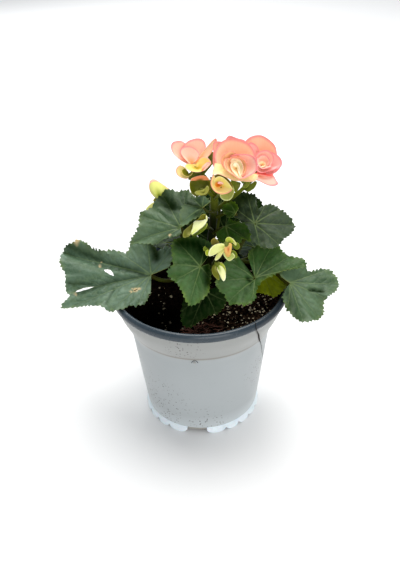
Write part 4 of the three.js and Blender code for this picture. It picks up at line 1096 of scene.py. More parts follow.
class BEGONIA_OT_pot(bpy.types.Operator):
    """Builds the pot: moulded wall, collar, rolled rim, scalloped feet and drainage holes"""
    bl_idname = "begonia.pot"
    bl_label = "Pot"

    def execute(self, context):
        look = context.scene.begonia_pot
        shape = Shape()
        for group in range(FOOT_GROUPS):
            foot_group(shape, FOOT_FIRST_GAP + FOOT_GAP / 2 + group * 360 / FOOT_GROUPS, FOOT_SKIN)
        shape.add(*tube(even_curve(ARCH, 0.4), 0.22, 8), RIM_SKIN)
        bump = even_curve(ARCH_BUMP, 0.4)
        shape.add(*tube(bump, 0.2 + 0.8 * np.sin(np.linspace(0.2, 2.9, len(bump))), 12), COLLAR_SKIN)
        wall, collar, painted_shadow = (
            wall_material(f"pot_{part}", getattr(look, part), look.dirt)
            for part in ("wall", "collar", "painted_shadow"))
        materials = [wall, collar, rim_material(look), foot_material(look), painted_shadow]
        body = Shape()
        revolve(body, pot_profile(), POT_SIDES)
        shape.add(*drilled(body.build("undrilled", materials)))
        declare(shape.build("pot_moulded", materials, 40), "pot")
        return {"FINISHED"}


# Leaves

def leaf_axes(facing):
    """The leaf's own axes: along its heading, across it, and its upper normal."""
    lean, lean_to, heading = facing
    normal = direction(lean_to, 90 - lean)
    level = direction(heading, 0)
    along = unit(level - normal * (level @ normal))
    return along, np.cross(normal, along), normal


def from_polar(degrees, reaches):
    """Points of a leaf's plane, from angles and distances from the stalk's end."""
    turns = np.radians(degrees)
    return np.column_stack([reaches * np.cos(turns), reaches * np.sin(turns)])


class Margin:
    """A leaf's outline in its own plane, and the reach and lift at any angle."""

    STEP = 0.42

    def __init__(self, leaf, tooth, spacing, random):
        table = np.array(carried(leaf["margin"]), float)
        knots = np.column_stack([from_polar(table[:, 0], table[:, 1]), table[:, 2]])
        line = even_curve(knots, self.STEP)
        angle = np.unwrap(np.arctan2(line[:, 1], line[:, 0]))
        angle += math.radians(table[0, 0]) - angle[0]
        self.middle = (angle[0] + angle[-1]) / 2
        self.angles = np.maximum.accumulate(angle) + np.arange(len(angle)) * 1e-7
        self.reaches = np.hypot(line[:, 0], line[:, 1])
        self.lifts = line[:, 2]
        self.toothed = self.with_teeth(line[:, :2], tooth, spacing, random)

    def with_teeth(self, line, tooth, spacing, random):
        """The outline pushed out and in by teeth that lean towards the lobe tips."""
        length = self.STEP * len(line)
        count = max(4, round(length / spacing))
        marks = np.cumsum(random.uniform(0.7, 1.35, count))
        marks = np.concatenate([[0], marks * length / marks[-1]])
        heights = random.uniform(0.6, 1.25, count)
        place = np.linspace(0, length * 0.9999, len(line))
        index = np.searchsorted(marks, place, side="right") - 1
        phase = (place - marks[index]) / (marks[index + 1] - marks[index])
        peak = np.where(np.gradient(self.reaches) > 0, TOOTH_LEAN, 1 - TOOTH_LEAN)
        rise = np.where(phase < peak, phase / peak, (1 - phase) / (1 - peak)) ** 0.85
        fine = np.abs((place / (0.31 * spacing)) % 1 - 0.5) * 2
        push = tooth * (heights[index] * rise - 0.5 + 0.3 * (fine - 0.5))
        push *= smooth_step(np.minimum(place, length - place), 0, 2)
        step = np.gradient(line, axis=0)
        out = np.column_stack([step[:, 1], -step[:, 0]])
        out /= np.linalg.norm(out, axis=1, keepdims=True)
        return np.vstack([[0, 0], line + out * push[:, None]])

    def angle_of(self, points):
        """Each point's angle, turned to lie within the outline's own span."""
        angle = np.arctan2(points[:, 1], points[:, 0])
        return self.middle + (angle - self.middle + math.pi) % (2 * math.pi) - math.pi

    def reach_at(self, angle):
        return np.interp(angle, self.angles, self.reaches)

    def lift_at(self, angle):
        return np.interp(angle, self.angles, self.lifts)


def leaf_veins(leaf, margin):
    """Main veins from the stalk to the lobe tips, and side veins off them: lines with width and strength."""
    tips = np.radians(leaf["veins"])
    bounds = np.concatenate([[margin.angles[0] - 0.1], tips, [margin.angles[-1] + 0.1]])
    lines = []
    for order, tip in enumerate(tips):
        reach = float(margin.reach_at(tip)) * 0.95
        shares = np.linspace(0, 1, max(6, round(reach / 2.2)))
        turns = tip + 0.14 * math.sin(2.3 * order + 1) * (1 - shares) * shares
        main = np.column_stack([np.cos(turns), np.sin(turns)]) * (shares * reach)[:, None]
        lines.append((main, MAIN_VEIN * (1 - 0.7 * shares), 1.0 - 0.5 * shares))
        lines += side_veins(main, (bounds[order] + tip) / 2, (bounds[order + 2] + tip) / 2, margin)
    return lines


def side_veins(main, lowest, highest, margin):
    """Side veins that leave a main vein by turns to either side and bend towards the margin."""
    lines = []
    total = np.linalg.norm(main[-1])
    side = 1
    place = FIRST_SIDE_VEIN
    while place < total * 0.9:
        share = place / total
        index = min(len(main) - 2, int(share * (len(main) - 1)))
        step = main[index + 1] - main[index]
        heading = math.atan2(*step[::-1]) + side * math.radians(46 - 14 * share)
        point = main[index] + step * (share * (len(main) - 1) - index)
        path = [point]
        for _ in range(SIDE_VEIN_STEPS):
            point = point + SIDE_VEIN_STEP * np.array([math.cos(heading), math.sin(heading)])
            heading -= side * SIDE_VEIN_BEND
            angle = float(margin.angle_of(point[None])[0])
            if not lowest < angle < highest or np.hypot(*point) > 0.93 * float(margin.reach_at(angle)):
                break
            path.append(point)
        if len(path) > 2:
            taper = np.linspace(1, 0.35, len(path))
            lines.append((np.array(path), SIDE_VEIN * taper, 0.32 * taper))
        side = -side
        place += SIDE_VEIN_GAP + 0.9 * share
    return lines


def nearest_veins(points, lines):
    """For each point: how far the nearest vein is, and how strongly a vein marks the point."""
    starts = np.vstack([path[:-1] for path, _, _ in lines])
    steps = np.vstack([np.diff(path, axis=0) for path, _, _ in lines])
    widths = np.concatenate([width[:-1] for _, width, _ in lines])
    marks = np.concatenate([mark[:-1] for _, _, mark in lines])
    squares = (steps**2).sum(axis=1)
    distance = np.empty(len(points))
    strength = np.empty(len(points))
    for first in range(0, len(points), BATCH):
        part = points[first:first + BATCH, None, :] - starts[None]
        share = np.clip((part * steps).sum(axis=2) / squares, 0, 1)
        gap = np.sqrt(((part - share[..., None] * steps) ** 2).sum(axis=2))
        distance[first:first + BATCH] = gap.min(axis=1)
        strength[first:first + BATCH] = (marks * np.clip(1 - gap / widths, 0, 1)).max(axis=1)
    return distance, strength


class Crowd:
    """Collects points that keep a distance from those already collected."""

    def __init__(self, cell):
        self.cell = cell
        self.cells = {}
        self.points = []

    def keep(self, x, y):
        """Adds the point."""
        self.cells.setdefault((int(x // self.cell), int(y // self.cell)), []).append((x, y))
        self.points.append((x, y))

    def offer(self, x, y, gap):
        """Adds the point unless one already stands closer than gap."""
        i, j = int(x // self.cell), int(y // self.cell)
        for a in (i - 1, i, i + 1):
            for b in (j - 1, j, j + 1):
                for near_x, near_y in self.cells.get((a, b), ()):
                    if (near_x - x) ** 2 + (near_y - y) ** 2 < gap * gap:
                        return
        self.keep(x, y)


def hole_outline(hole):
    """An oval hole with a torn edge: angle and reach of its centre, half sizes, and its turn."""
    angle, reach, half_long, half_wide, turn = hole
    turns = np.linspace(0, 2 * math.pi, max(12, round(5 * half_long)), endpoint=False)
    torn = 1 + 0.12 * np.sin(3 * turns + reach) + 0.08 * np.sin(7 * turns)
    oval = np.column_stack([half_long * np.cos(turns) * torn, half_wide * np.sin(turns) * torn])
    cos, sin, _ = direction(angle + turn, 0)
    return reach * direction(angle, 0)[:2] + oval @ np.array([[cos, sin], [-sin, cos]])


def vein_points(lines):
    """Points along the middle and both sides of every vein."""
    marked = []
    for path, width, _ in lines:
        fine = even_curve(path, 0.85)
        wide = np.interp(np.linspace(0, 1, len(fine)), np.linspace(0, 1, len(width)), width)
        step = np.gradient(fine, axis=0)
        across = np.column_stack([-step[:, 1], step[:, 0]])
        across /= np.linalg.norm(across, axis=1, keepdims=True)
        marked += [fine + side * across * wide[:, None] for side in (0, 1, -1)]
    return np.vstack(marked)


def blade_triangles(margin, lines, holes, grain):
    """A fine triangulation of the blade that follows its margin, its veins and its holes."""
    crowd = Crowd(grain)
    edges = []
    for loop in (margin.toothed, *holes):
        first = len(crowd.points)
        for x, y in loop:
            crowd.keep(x, y)
        edges += [(first + k, first + (k + 1) % len(loop)) for k in range(len(loop))]
    low, high = margin.toothed.min(axis=0), margin.toothed.max(axis=0)
    grid = []
    for k, y in enumerate(np.arange(low[1], high[1], grain * math.sqrt(3) / 2)):
        row = np.arange(low[0] + (k % 2) * grain / 2, high[0], grain)
        grid.append(np.column_stack([row, np.full(len(row), y)]))
    for group, gap in ((vein_points(lines), CLOSEST_POINTS), (np.vstack(grid), 0.72 * grain)):
        for x, y in group[inside(group, margin.toothed)]:
            crowd.offer(x, y, gap)
    made = delaunay_2d_cdt([Vector(point) for point in crowd.points], edges, [], 0, 1e-5, False)
    flat = np.array([tuple(v) for v in made[0]])
    faces = np.array([tuple(face) for face in made[2] if len(face) == 3])
    centres = flat[faces].mean(axis=1)
    kept = inside(centres, margin.toothed)
    for hole in holes:
        kept &= ~inside(centres, hole)
    faces = faces[kept]
    a, b, c = (flat[faces[:, k]] for k in range(3))
    turned = (b[:, 0] - a[:, 0]) * (c[:, 1] - a[:, 1]) < (b[:, 1] - a[:, 1]) * (c[:, 0] - a[:, 0])
    faces[turned] = faces[turned][:, ::-1]
    used, renumbered = np.unique(faces, return_inverse=True)
    return flat[used], renumbered.reshape(faces.shape)


def blade_heights(points, margin, lines, leaf, random):
    """Height of the upper face over the leaf's plane, and the point values that its material reads."""
    angle = margin.angle_of(points)
    radius = np.hypot(points[:, 0], points[:, 1])
    share = np.clip(radius / margin.reach_at(angle), 0, 1)
    size = float(margin.reaches.max())
    gap, vein = nearest_veins(points, lines)
    main_gap, _ = nearest_veins(points, [line for line in lines if line[2][0] > 0.9])
    cushion = (1 - bell(main_gap, 0.14 * size)) * smooth_step(share, 0.05, 0.6)
    ripple = (1 - bell(gap, 1.5)) * smooth_step(radius, 2, 9) * (1 - 0.6 * share**6)
    first, second = random.uniform(0, 6.28, 2)
    wave = np.sin(angle * size / 2.4 + first) + 0.6 * np.sin(angle * size / 1.1 + second)
    height = margin.lift_at(angle) * share**1.2 + CUSHION_RISE * size**0.8 * cushion
    height += RIPPLE_RISE * ripple + WAVE_RISE * wave * share**5 - VEIN_GROOVE * vein
    # Painted shade in the valleys along the veins
    dark = np.maximum(0.34 * bell(main_gap, 1.5), 0.3 * bell(gap, 0.8))
    pale = np.zeros(len(points))
    for line, wide, deep, shade in leaf.get("folds", ()):
        path = from_polar(*np.array(line, float).T)
        away, _ = nearest_veins(points, [(path, np.ones(len(path)), np.ones(len(path)))])
        near = bell(away, wide)
        height -= deep * near
        # Painted shade along the fold, or painted sheen where its shade is below zero
        dark = np.maximum(dark, shade * near)
        pale = np.maximum(pale, -shade * near)
    edge_gap = np.empty(len(points))
    for start in range(0, len(points), BATCH):
        part = points[start:start + BATCH, None, :] - margin.toothed[None, ::2]
        edge_gap[start:start + BATCH] = np.sqrt((part**2).sum(axis=2)).min(axis=1)
    dry = np.zeros(len(points))
    for turn, out, wide in leaf.get("scars", ()):
        away = np.linalg.norm(points - out * direction(turn, 0)[:2], axis=1)
        dry = np.maximum(dry, bell(away, wide, 4))
    return height, {"vein": vein, "edge": np.exp(-edge_gap / 1.1), "dry": dry, "dark": dark, "pale": pale}


def add_blade(shape, leaf, look, seed):
    """The blade as a thin closed sheet: upper face, underside with raised veins, and cut edge."""
    random = np.random.default_rng(seed)
    along, across, normal = leaf_axes(leaf["facing"])
    margin = Margin(leaf, look.tooth / MM, look.spacing / MM, random)
    lines = leaf_veins(leaf, margin)
    holes = [hole_outline(hole) for hole in leaf.get("holes", ())]
    flat, faces = blade_triangles(margin, lines, holes, look.grain / MM)
    height, values = blade_heights(flat, margin, lines, leaf, random)
    upper = leaf["at"] + np.outer(flat[:, 0], along) + np.outer(flat[:, 1], across) + np.outer(height, normal)
    deep = look.thickness / MM * (1 - 0.5 * values["edge"]) + VEIN_RIB * values["vein"]
    lower = upper - np.outer(deep, normal)
    count = len(flat)
    sides = {}
    for a, b, c in faces:
        for edge in ((a, b), (b, c), (c, a)):
            if edge[::-1] in sides:
                del sides[edge[::-1]]
            else:
                sides[edge] = True
    rim = [(b, a, a + count, b + count) for a, b in sides]
    every = [*faces.tolist(), *(faces[:, ::-1] + count).tolist(), *rim]
    paint = [0] * len(faces) + [1] * (len(faces) + len(rim))
    doubled = {name: np.tile(value, 2) for name, value in values.items()}
    shape.add(np.vstack([upper, lower]), every, paint, **doubled)


def add_stalk(shape, leaf):
    """The leaf's round stalk, thicker where it meets the blade and the stem."""
    along, _, normal = leaf_axes(leaf["facing"])
    base = np.array(leaf["at"], float)
    radius = STALK_RADIUS if max(point[1] for point in leaf["margin"]) > LARGE_LEAF else THIN_RADIUS
    knots = [base + along - 1.4 * normal, base - 3.2 * normal, *map(np.array, leaf["stalk"])]
    path = even_curve(knots, 1.0)
    shares = np.linspace(0, 1, len(path))
    radii = radius * (0.92 + 0.25 * (1 - shares) ** 8 + 0.3 * shares**8)
    radii[0] = 0.5 * radius
    shape.add(*tube(path, radii, 12), 2)


# Leaf tones: deep and light display colour, colour of the painted shade in folds and vein valleys, colour
# along the margin, and how glossy it is
TONES = {
    "silver": ((60, 85, 62), (92, 119, 94), (18, 36, 12), (110, 126, 64), 0.24),
    "grey": ((50, 75, 48), (83, 110, 77), (14, 30, 6), (104, 122, 48), 0.22),
    "dull": ((36, 54, 34), (56, 74, 50), (10, 22, 2), (78, 96, 46), 0.14),
    "green": ((34, 64, 18), (60, 98, 42), (3, 24, 0), (118, 140, 34), 0.16),
    "fresh": ((20, 44, 4), (38, 68, 8), (8, 18, 0), (84, 106, 20), 0.03),
    # Painted shade: the leaves at the back, darkened as if in the shade of those in front
    "dark": ((18, 30, 20), (30, 46, 32), (10, 22, 4), (70, 90, 40), 0.02),
    # Painted shade: the leaves low down and behind the stems, darker still
    "shaded": ((8, 22, 6), (18, 38, 12), (4, 8, 2), (36, 50, 18), 0),
    # Painted light: the yellow of light shining through a leaf
    "olive": ((88, 100, 4), (114, 126, 8), (50, 60, 0), (126, 138, 24), 0.03),
}


def leaf_material(name, tone, look):
    """Upper face of a leaf: mottled green with pale veins, painted shade in folds and vein valleys, painted
    sheen on pale folds, dry spots and a waxy sheen.
    """
    *shades, gloss = TONES[tone]
    deep, light, fold_shade, edge = (srgb(*shade) for shade in shades)
    nodes = Nodes(name, IOR=1.45, Coat_Roughness=0.5)
    vein, rim, dry, dark, pale = (nodes.value(label) for label in LEAF_VALUES)
    cells = nodes.cells(330)
    # Veins and margin fade where shade is painted
    lit = nodes.ranged(dark, 0, 1, 1, 0.15)
    shown = nodes.maths("MULTIPLY", vein, 0.75 if gloss > 0.1 else 0.3)
    edging = nodes.maths("MULTIPLY", rim, nodes.ranged(nodes.noise(120), 0.35, 0.65, 0, 0.6))
    colour = nodes.mix(nodes.ranged(nodes.noise(45, 5, 0.6), 0.3, 0.7), deep, light)
    for share, over in (
            (nodes.ranged(cells, 0.0, 0.14, 0.2, 0), times(light, 1.2)),
            # Painted sheen where a fold is marked pale
            (pale, tuple(1.25 * part + 0.06 for part in light)),
            # Painted shade in the folds and vein valleys
            (dark, fold_shade),
            (nodes.maths("MULTIPLY", shown, lit), look.vein),
            (nodes.maths("MULTIPLY", edging, lit), edge),
            (dry, look.dry)):
        colour = nodes.mix(share, colour, over)
    # Painted shade also takes most of the gloss away
    for label, most in (("Specular IOR Level", 1.6 * gloss), ("Coat Weight", gloss)):
        nodes.link(nodes.ranged(dark, 0, 1, most, 0.05 * most), label)
    relief = nodes.bump(nodes.ranged(cells, 0.0, 0.3), 0.2, 0.0004)
    return nodes.finish(colour, nodes.rough(160, 4, 0.38, 0.54), nodes.grain(1400, 3, 0.15, 0.0002, relief))


def underside_material(look):
    """Underside of a leaf: paler and matt, with lighter raised veins."""
    nodes = Nodes("leaf_underside", IOR=1.4)
    mottle = nodes.ranged(nodes.noise(70, 4), 0.35, 0.65)
    colour = nodes.mix(mottle, srgb(84, 104, 40), srgb(112, 128, 58))
    colour = nodes.mix(nodes.maths("MULTIPLY", nodes.value("vein"), 0.8), colour, srgb(150, 150, 84))
    colour = nodes.mix(nodes.value("dry"), colour, look.dry)
    return nodes.finish(colour, nodes.rough(200, 3, 0.55, 0.7), nodes.grain(700, 3, 0.2, 0.0003))


def stalk_material(name, colour, flush, young=None):
    """Fleshy stalk: green with reddish streaks and a soft gloss, fresher at the top of the plant."""
    nodes = Nodes(name, Specular_IOR_Level=0.08, IOR=1.42)
    streaks = nodes.ranged(nodes.noise(110, 4), 0.45, 0.75, 0, 0.7)
    shade = nodes.mix(streaks, colour, flush)
    if young is not None:
        shade = nodes.mix(nodes.ranged(nodes.height(), 0.162, 0.182), shade, young)
    return nodes.finish(shade, nodes.rough(300, 3, 0.34, 0.5), nodes.grain(900, 2, 0.15, 0.0002))


class BEGONIA_OT_leaves(bpy.types.Operator):
    """Builds every leaf: toothed and veined blade with its stalk"""
    bl_idname = "begonia.leaves"
    bl_label = "Leaves"

    def execute(self, context):
        look = context.scene.begonia_leaf
        under = underside_material(look)
        stalk = stalk_material("leaf_stalk", look.stalk, context.scene.begonia_stem.flush)
        tops = {tone: leaf_material(f"leaf_{tone}", tone, look) for tone in TONES}
        for seed, (name, leaf) in enumerate(LEAVES.items()):
            shape = Shape(*LEAF_VALUES)
            add_blade(shape, leaf, look, seed + 1)
            add_stalk(shape, leaf)
            made = shape.build(f"{name}_veined", [tops[leaf["tone"]], under, stalk], 55)
            declare(made, name)
        return {"FINISHED"}


# Petals, blooms and buds

UPRIGHT = math.radians(VIEW_HEIGHT)
FLOWER_AXES = np.array([
    (1, 0, 0), (0, math.sin(UPRIGHT), math.cos(UPRIGHT)), (0, -math.cos(UPRIGHT), math.sin(UPRIGHT))])


def placed(points, face):
    """Points of a flower's own plane, put in the part's frame."""
    return np.asarray(points, float) @ FLOWER_AXES + face


def petal_tint(colours, share):
    """The petal's colour: foot to body, then the line along the rim."""
    foot, body, rim = (np.array(srgb(*colour)) for colour in PALETTES[colours])
    colour = foot + (body - foot) * smooth_step(share, 0.05, 0.62)[..., None]
    return colour + (rim - colour) * (0.9 * smooth_step(share, 0.88, 0.98))[..., None]


def petal_sheet(each, columns, rows):
    """The petal's front as a fan of rows between its foot and its rim."""
    rim = respaced(curve_through(each["rim"], np.linspace(0, 1, columns * 6 + 1)), count=columns + 1)
    share = 0.06 + 0.94 * (1 - (1 - np.linspace(0, 1, rows + 1)) ** 1.4)
    across, share = np.meshgrid(np.linspace(-1, 1, columns + 1), share)
    foot = np.array(each["foot"], float)
    sheet = foot + share[..., None] * (rim[None] - foot)
    bow = each["swell"] * np.sin(math.pi * share**0.85) * (1 - 0.5 * across**2)
    wave = each["wave"] * share**4 * np.sin(7 * across + foot[0])
    sheet[..., 2] += bow + wave - 0.35 * share**14
    return sheet, across, share


def sheet_faces(columns, rows):
    """Faces of a closed thin sheet: front, back, and the strip round its border."""
    wide = columns + 1
    count = wide * (rows + 1)
    faces = []
    for j in range(rows):
        for i in range(columns):
            a = j * wide + i
            b, c, d = a + 1, a + wide + 1, a + wide
            faces += [(a, b, c, d), (d + count, c + count, b + count, a + count)]
    border = list(range(columns))
    border += [j * wide + columns for j in range(rows)]
    border += [rows * wide + i for i in range(columns, 0, -1)]
    border += [j * wide for j in range(rows, 0, -1)]
    return faces + [(a, a + count, b + count, b) for a, b in zip(border, border[1:] + border[:1])]


def add_petal(shape, face, each, look, paint=0):
    """One petal as a thin closed sheet."""
    front, across, share = petal_sheet(each, look.across, look.along)
    normal = np.cross(np.gradient(front, axis=1), np.gradient(front, axis=0))
    normal /= np.maximum(np.linalg.norm(normal, axis=-1, keepdims=True), 1e-9)
    thin = look.thickness / MM * (1 - 0.45 * share**4)
    back = front - normal * thin[..., None]
    points = placed(np.vstack([front.reshape(-1, 3), back.reshape(-1, 3)]), face)
    tint = petal_tint(each["colours"], share).reshape(-1, 3)
    shape.add(
        points, sheet_faces(look.across, look.along), paint, tint=np.vstack([tint, tint]),
        across=np.tile(across.ravel(), 2), along=np.tile(share.ravel(), 2))


def add_receptacle(shape, bloom):
    """The swollen green end of the stalk that the petals grow from."""
    feet = np.array([each["foot"] for each in bloom["petals"]], float)
    middle = placed(feet.mean(axis=0), bloom["face"])
    stalk = np.array(bloom["stalk"], float)
    path = even_curve((stalk, (stalk + middle) / 2, middle), 0.6)
    shares = np.linspace(0, 1, len(path))
    radii = 1.2 + 1.0 * np.sin(math.pi * shares) - 0.7 * shares
    shape.add(*tube(path, radii, 14), 0, tint=srgb(96, 108, 20))


def petal_material(name):
    """Soft petal: painted by its own colour, with fine lengthwise veins and a silky sheen."""
    nodes = Nodes(
        name, Subsurface_Weight=0.12, Subsurface_Scale=0.0012, Subsurface_Radius=(1.0, 0.8, 0.65),
        Specular_IOR_Level=0.25, Sheen_Weight=0.04, Sheen_Roughness=0.4, IOR=1.36)
    across = nodes.maths("MULTIPLY", nodes.value("across"), 9.0)
    along = nodes.maths("MULTIPLY", nodes.value("along"), 0.7)
    veins = nodes.noise(2.4, 4, 0.6, nodes.add("CombineXYZ", "Vector", {"X": across, "Y": along}))
    tint = nodes.value("tint", "Color")
    deeper = nodes.mix(1.0, tint, (0.93, 0.83, 0.76), "MULTIPLY")
    colour = nodes.mix(nodes.ranged(veins, 0.45, 0.75, 0, 0.55), tint, deeper)
    paler = nodes.ranged(nodes.noise(120, 3), 0.5, 0.8, 0, 0.07)
    colour = nodes.mix(paler, colour, srgb(255, 230, 205))
    ribs = nodes.bump(veins, 0.2, 0.0004)
    return nodes.finish(colour, nodes.rough(500, 3, 0.5, 0.64), nodes.grain(1600, 2, 0.1, 0.0001, ribs))


def build_flowers(context, flowers, skin):
    """Blooms or buds: for each, the end of its stalk and its petals."""
    material = petal_material(skin)
    for name, bloom in flowers.items():
        shape = Shape(*PETAL_VALUES)
        add_receptacle(shape, bloom)
        for each in bloom["petals"]:
            add_petal(shape, bloom["face"], each, context.scene.begonia_petal)
        declare(shape.build(f"{name}_petals", [material], 60), name)
    return {"FINISHED"}


class BEGONIA_OT_blooms(bpy.types.Operator):
    """Builds the three blooms"""
    bl_idname = "begonia.blooms"
    bl_label = "Blooms"

    def execute(self, context):
        return build_flowers(context, BLOOMS, "petal_skin")


class BEGONIA_OT_buds(bpy.types.Operator):
    """Builds the seven buds"""
    bl_idname = "begonia.buds"
    bl_label = "Buds"

    def execute(self, context):
        return build_flowers(context, BUDS, "bud_skin")


# Stems

class BEGONIA_OT_stems(bpy.types.Operator):
    """Builds the branching stem with its flower and bud stalks"""
    bl_idname = "begonia.stems"
    bl_label = "Stems"

    def execute(self, context):
        look = context.scene.begonia_stem
        shape = Shape(*PETAL_VALUES)
        for order, (radius, *knots) in enumerate(SHOOTS):
            path = even_curve(knots, 0.9)
            shares = np.linspace(0, 1, len(path))
            knobs = 0.08 * bell((shares * len(path) / KNOB_GAP) % 1 - 0.5, 0.12)
            radii = radius * (1 + knobs - 0.1 * shares + 0.04 * np.sin(9 * shares + order))
            shape.add(*tube(path, radii, 16))
        for each in BRACTS:
            add_petal(shape, BRACTS_FACE, each, context.scene.begonia_petal, 1)
        skin = stalk_material("stem_skin", look.stem, look.flush, look.young)
        declare(shape.build("stems_fleshy", [skin, petal_material("bract_skin")], 60), "stems")
        return {"FINISHED"}


# Soil and what lies on it

def soil_height(x, y):
    """The crumbly level of the soil over its mean height, in millimetres."""
    lumps = np.sin(0.31 * x + 1.2) * np.cos(0.27 * y - 0.4) + 0.6 * np.sin(0.63 * x - 0.51 * y + 2)
    mound = 1.5 * np.exp(-((x - 4) ** 2 + (y - 5) ** 2) / 160)
    return SOIL_LUMPS * 0.5 * lumps + mound


def soil_material(name, colour, glint):
    """Moist crumbly compost: near black with flecks, with painted light at the right and painted shade at the
    left.
    """
    nodes = Nodes(name, Specular_IOR_Level=0.0, IOR=1.4)
    flecks = nodes.ranged(nodes.noise(420, 5, 0.7), 0.48, 0.66)
    # Painted light at the right
    bright = nodes.mix(nodes.near((0.034, -0.028, 0.098), 0.05), glint, times(glint, 5))
    shade = nodes.mix(flecks, colour, bright)
    # Painted shade at the left
    shade = nodes.mix(nodes.near((-0.03, -0.03, 0.097), 0.04), shade, times(colour, 0.1))
    crumbly = nodes.bump(nodes.noise(900, 5, 0.7), 0.8, 0.001)
    return nodes.finish(shade, nodes.rough(600, 3, 0.7, 0.95), crumbly)


def soil_shape():
    """The soil's body: the filled inside of the pot under an uneven crumbly top."""
    inner = LEDGE_RADIUS - WALL
    rings = [
        ring(BASE_RADIUS - WALL - 1.1, BASE_HEIGHT + 3, SOIL_SIDES),
        ring(inner - LEDGE_STEP - 0.5, LEDGE_HEIGHT - 1, SOIL_SIDES),
        ring(inner - 1.2, LEDGE_HEIGHT + 1.5, SOIL_SIDES)]
    for radius in (SOIL_EDGE, *np.linspace(SOIL_EDGE - 0.3, 1.5, 40)):
        fade = 1 - smooth_step(radius, SOIL_EDGE - 4, SOIL_EDGE)
        level = ring(radius, SOIL_TOP, SOIL_SIDES)
        rings.append([(x, y, z + fade * float(soil_height(x, y))) for x, y, z in level])
    shape = Shape()
    shape.add(*closed_body((0, 0, FLOOR_TOP + 0.5), rings, (0, 0, SOIL_TOP + soil_height(0, 0))))
    return shape


def scatter_tree(name, subdivisions):
    """Geometry nodes that strew rough grains over a surface."""
    tree = bpy.data.node_groups.new(name, "GeometryNodeTree")
    numbers = dict.fromkeys(("Density", "Smallest", "Largest", "Flatness", "Raise"), "Float")
    for label, kind in {"Surface": "Geometry", **numbers, "Seed": "Int", "Material": "Material"}.items():
        tree.interface.new_socket(label, in_out="INPUT", socket_type="NodeSocket" + kind)
    tree.interface.new_socket("Grains", in_out="OUTPUT", socket_type="NodeSocketGeometry")
    given = add_node(tree, "NodeGroupInput").outputs

    def add(kind, output, inputs, **settings):
        return add_node(tree, kind, inputs, **settings).outputs[output]

    def random_vector(inputs):
        return add("FunctionNodeRandomValue", 0, inputs, data_type="FLOAT_VECTOR")

    def vector_maths(operation, inputs):
        return add("ShaderNodeVectorMath", "Vector", inputs, operation=operation)

    amount = add("GeometryNodeInputNamedAttribute", "Attribute", {"Name": "amount"}, data_type="FLOAT")
    density = add("ShaderNodeMath", "Value", {0: given["Density"], 1: amount}, operation="MULTIPLY")
    strew = add_node(tree, "GeometryNodeDistributePointsOnFaces", {
        "Mesh": given["Surface"], "Density": density, "Seed": given["Seed"]}).outputs
    size = add("FunctionNodeRandomValue", 1, {
        2: given["Smallest"], 3: given["Largest"], "Seed": given["Seed"]}, data_type="FLOAT")
    shape = random_vector({0: (0.55, 0.55, 0.55), 1: (1.0, 1.0, 1.0)})
    flatten = add("ShaderNodeCombineXYZ", "Vector", {"X": 1.0, "Y": 1.0, "Z": given["Flatness"]})
    squashed = vector_maths("MULTIPLY", {0: vector_maths("SCALE", {0: shape, "Scale": size}), 1: flatten})
    turn = random_vector({1: (0.5, 0.5, 2 * math.pi)})
    turned = add("FunctionNodeRotateEuler", "Rotation", {
        "Rotation": strew["Rotation"], "Rotate By": turn}, space="LOCAL")
    grain = add("GeometryNodeMeshIcoSphere", "Mesh", {"Radius": 1.0, "Subdivisions": subdivisions})
    grains = add("GeometryNodeInstanceOnPoints", "Instances", {
        "Points": strew["Points"], "Instance": grain, "Rotation": turned, "Scale": squashed})
    grains = add("GeometryNodeRealizeInstances", "Geometry", {"Geometry": grains})
    rough = add("ShaderNodeTexNoise", "Color", {"Scale": 700})
    centred = vector_maths("SUBTRACT", {0: rough, 1: (0.5, 0.5, 0.5)})
    push = vector_maths("SCALE", {0: centred, "Scale": given["Raise"]})
    grains = add("GeometryNodeSetPosition", "Geometry", {"Geometry": grains, "Offset": push})
    grains = add("GeometryNodeSetMaterial", "Geometry", {"Geometry": grains, "Material": given["Material"]})
    add_node(tree, "NodeGroupOutput", {"Grains": grains})
    return tree


def strewn(name, surface, tree, **settings):
    """The grains of a scatter tree over a surface object, as a plain mesh."""
    modifier = surface.modifiers.new("scatter", "NODES")
    modifier.node_group = tree
    for item in tree.interface.items_tree:
        if item.in_out == "INPUT" and item.name in settings:
            modifier[item.identifier] = settings[item.name]
    surface.update_tag()
    mesh = finished_mesh(surface)
    surface.modifiers.remove(modifier)
    mesh.name = name
    return declare(linked(name, mesh), None)


def fibre_shape():
    """Coir fibres on the soil near the front, and one dry root that hangs over the rim."""
    shape = Shape()
    random = np.random.default_rng(11)
    for _ in range(FIBRES):
        point = np.array([random.uniform(-10, 12), random.uniform(-53, -36), SOIL_TOP + 0.8])
        turn = random.uniform(0, 2 * math.pi)
        knots = [point]
        for _ in range(4):
            turn += random.uniform(-0.7, 0.7)
            step = (1.6 * math.cos(turn), 1.1 * math.sin(turn), random.uniform(-0.3, 0.5))
            knots.append(knots[-1] + step)
        shape.add(*tube(even_curve(knots, 0.8), random.uniform(0.12, 0.28), 5))
    root = even_curve(ROOT, 1.2)
    shares = np.linspace(0, 1, len(root))
    thick = 0.2 + 0.45 * bell(shares - 0.45, 0.16) - 0.1 * shares
    shape.add(*tube(root, thick, 8), 1)
    return shape


def soil_bed():
    """A helper surface that follows the soil's top, carrying how much is strewn where."""
    radii = np.linspace(SOIL_EDGE - 1, 1, 40)
    shape = Shape("amount")
    points = np.vstack([ring(radius, SOIL_TOP, BED_SIDES) for radius in radii])
    shape.add(points, band_faces(len(radii), BED_SIDES), 0, amount=1.0)
    bed = shape.build("bed", [])
    for vertex in bed.data.vertices:
        vertex.co.z += float(soil_height(vertex.co.x / MM, vertex.co.y / MM)) * MM
    return bed


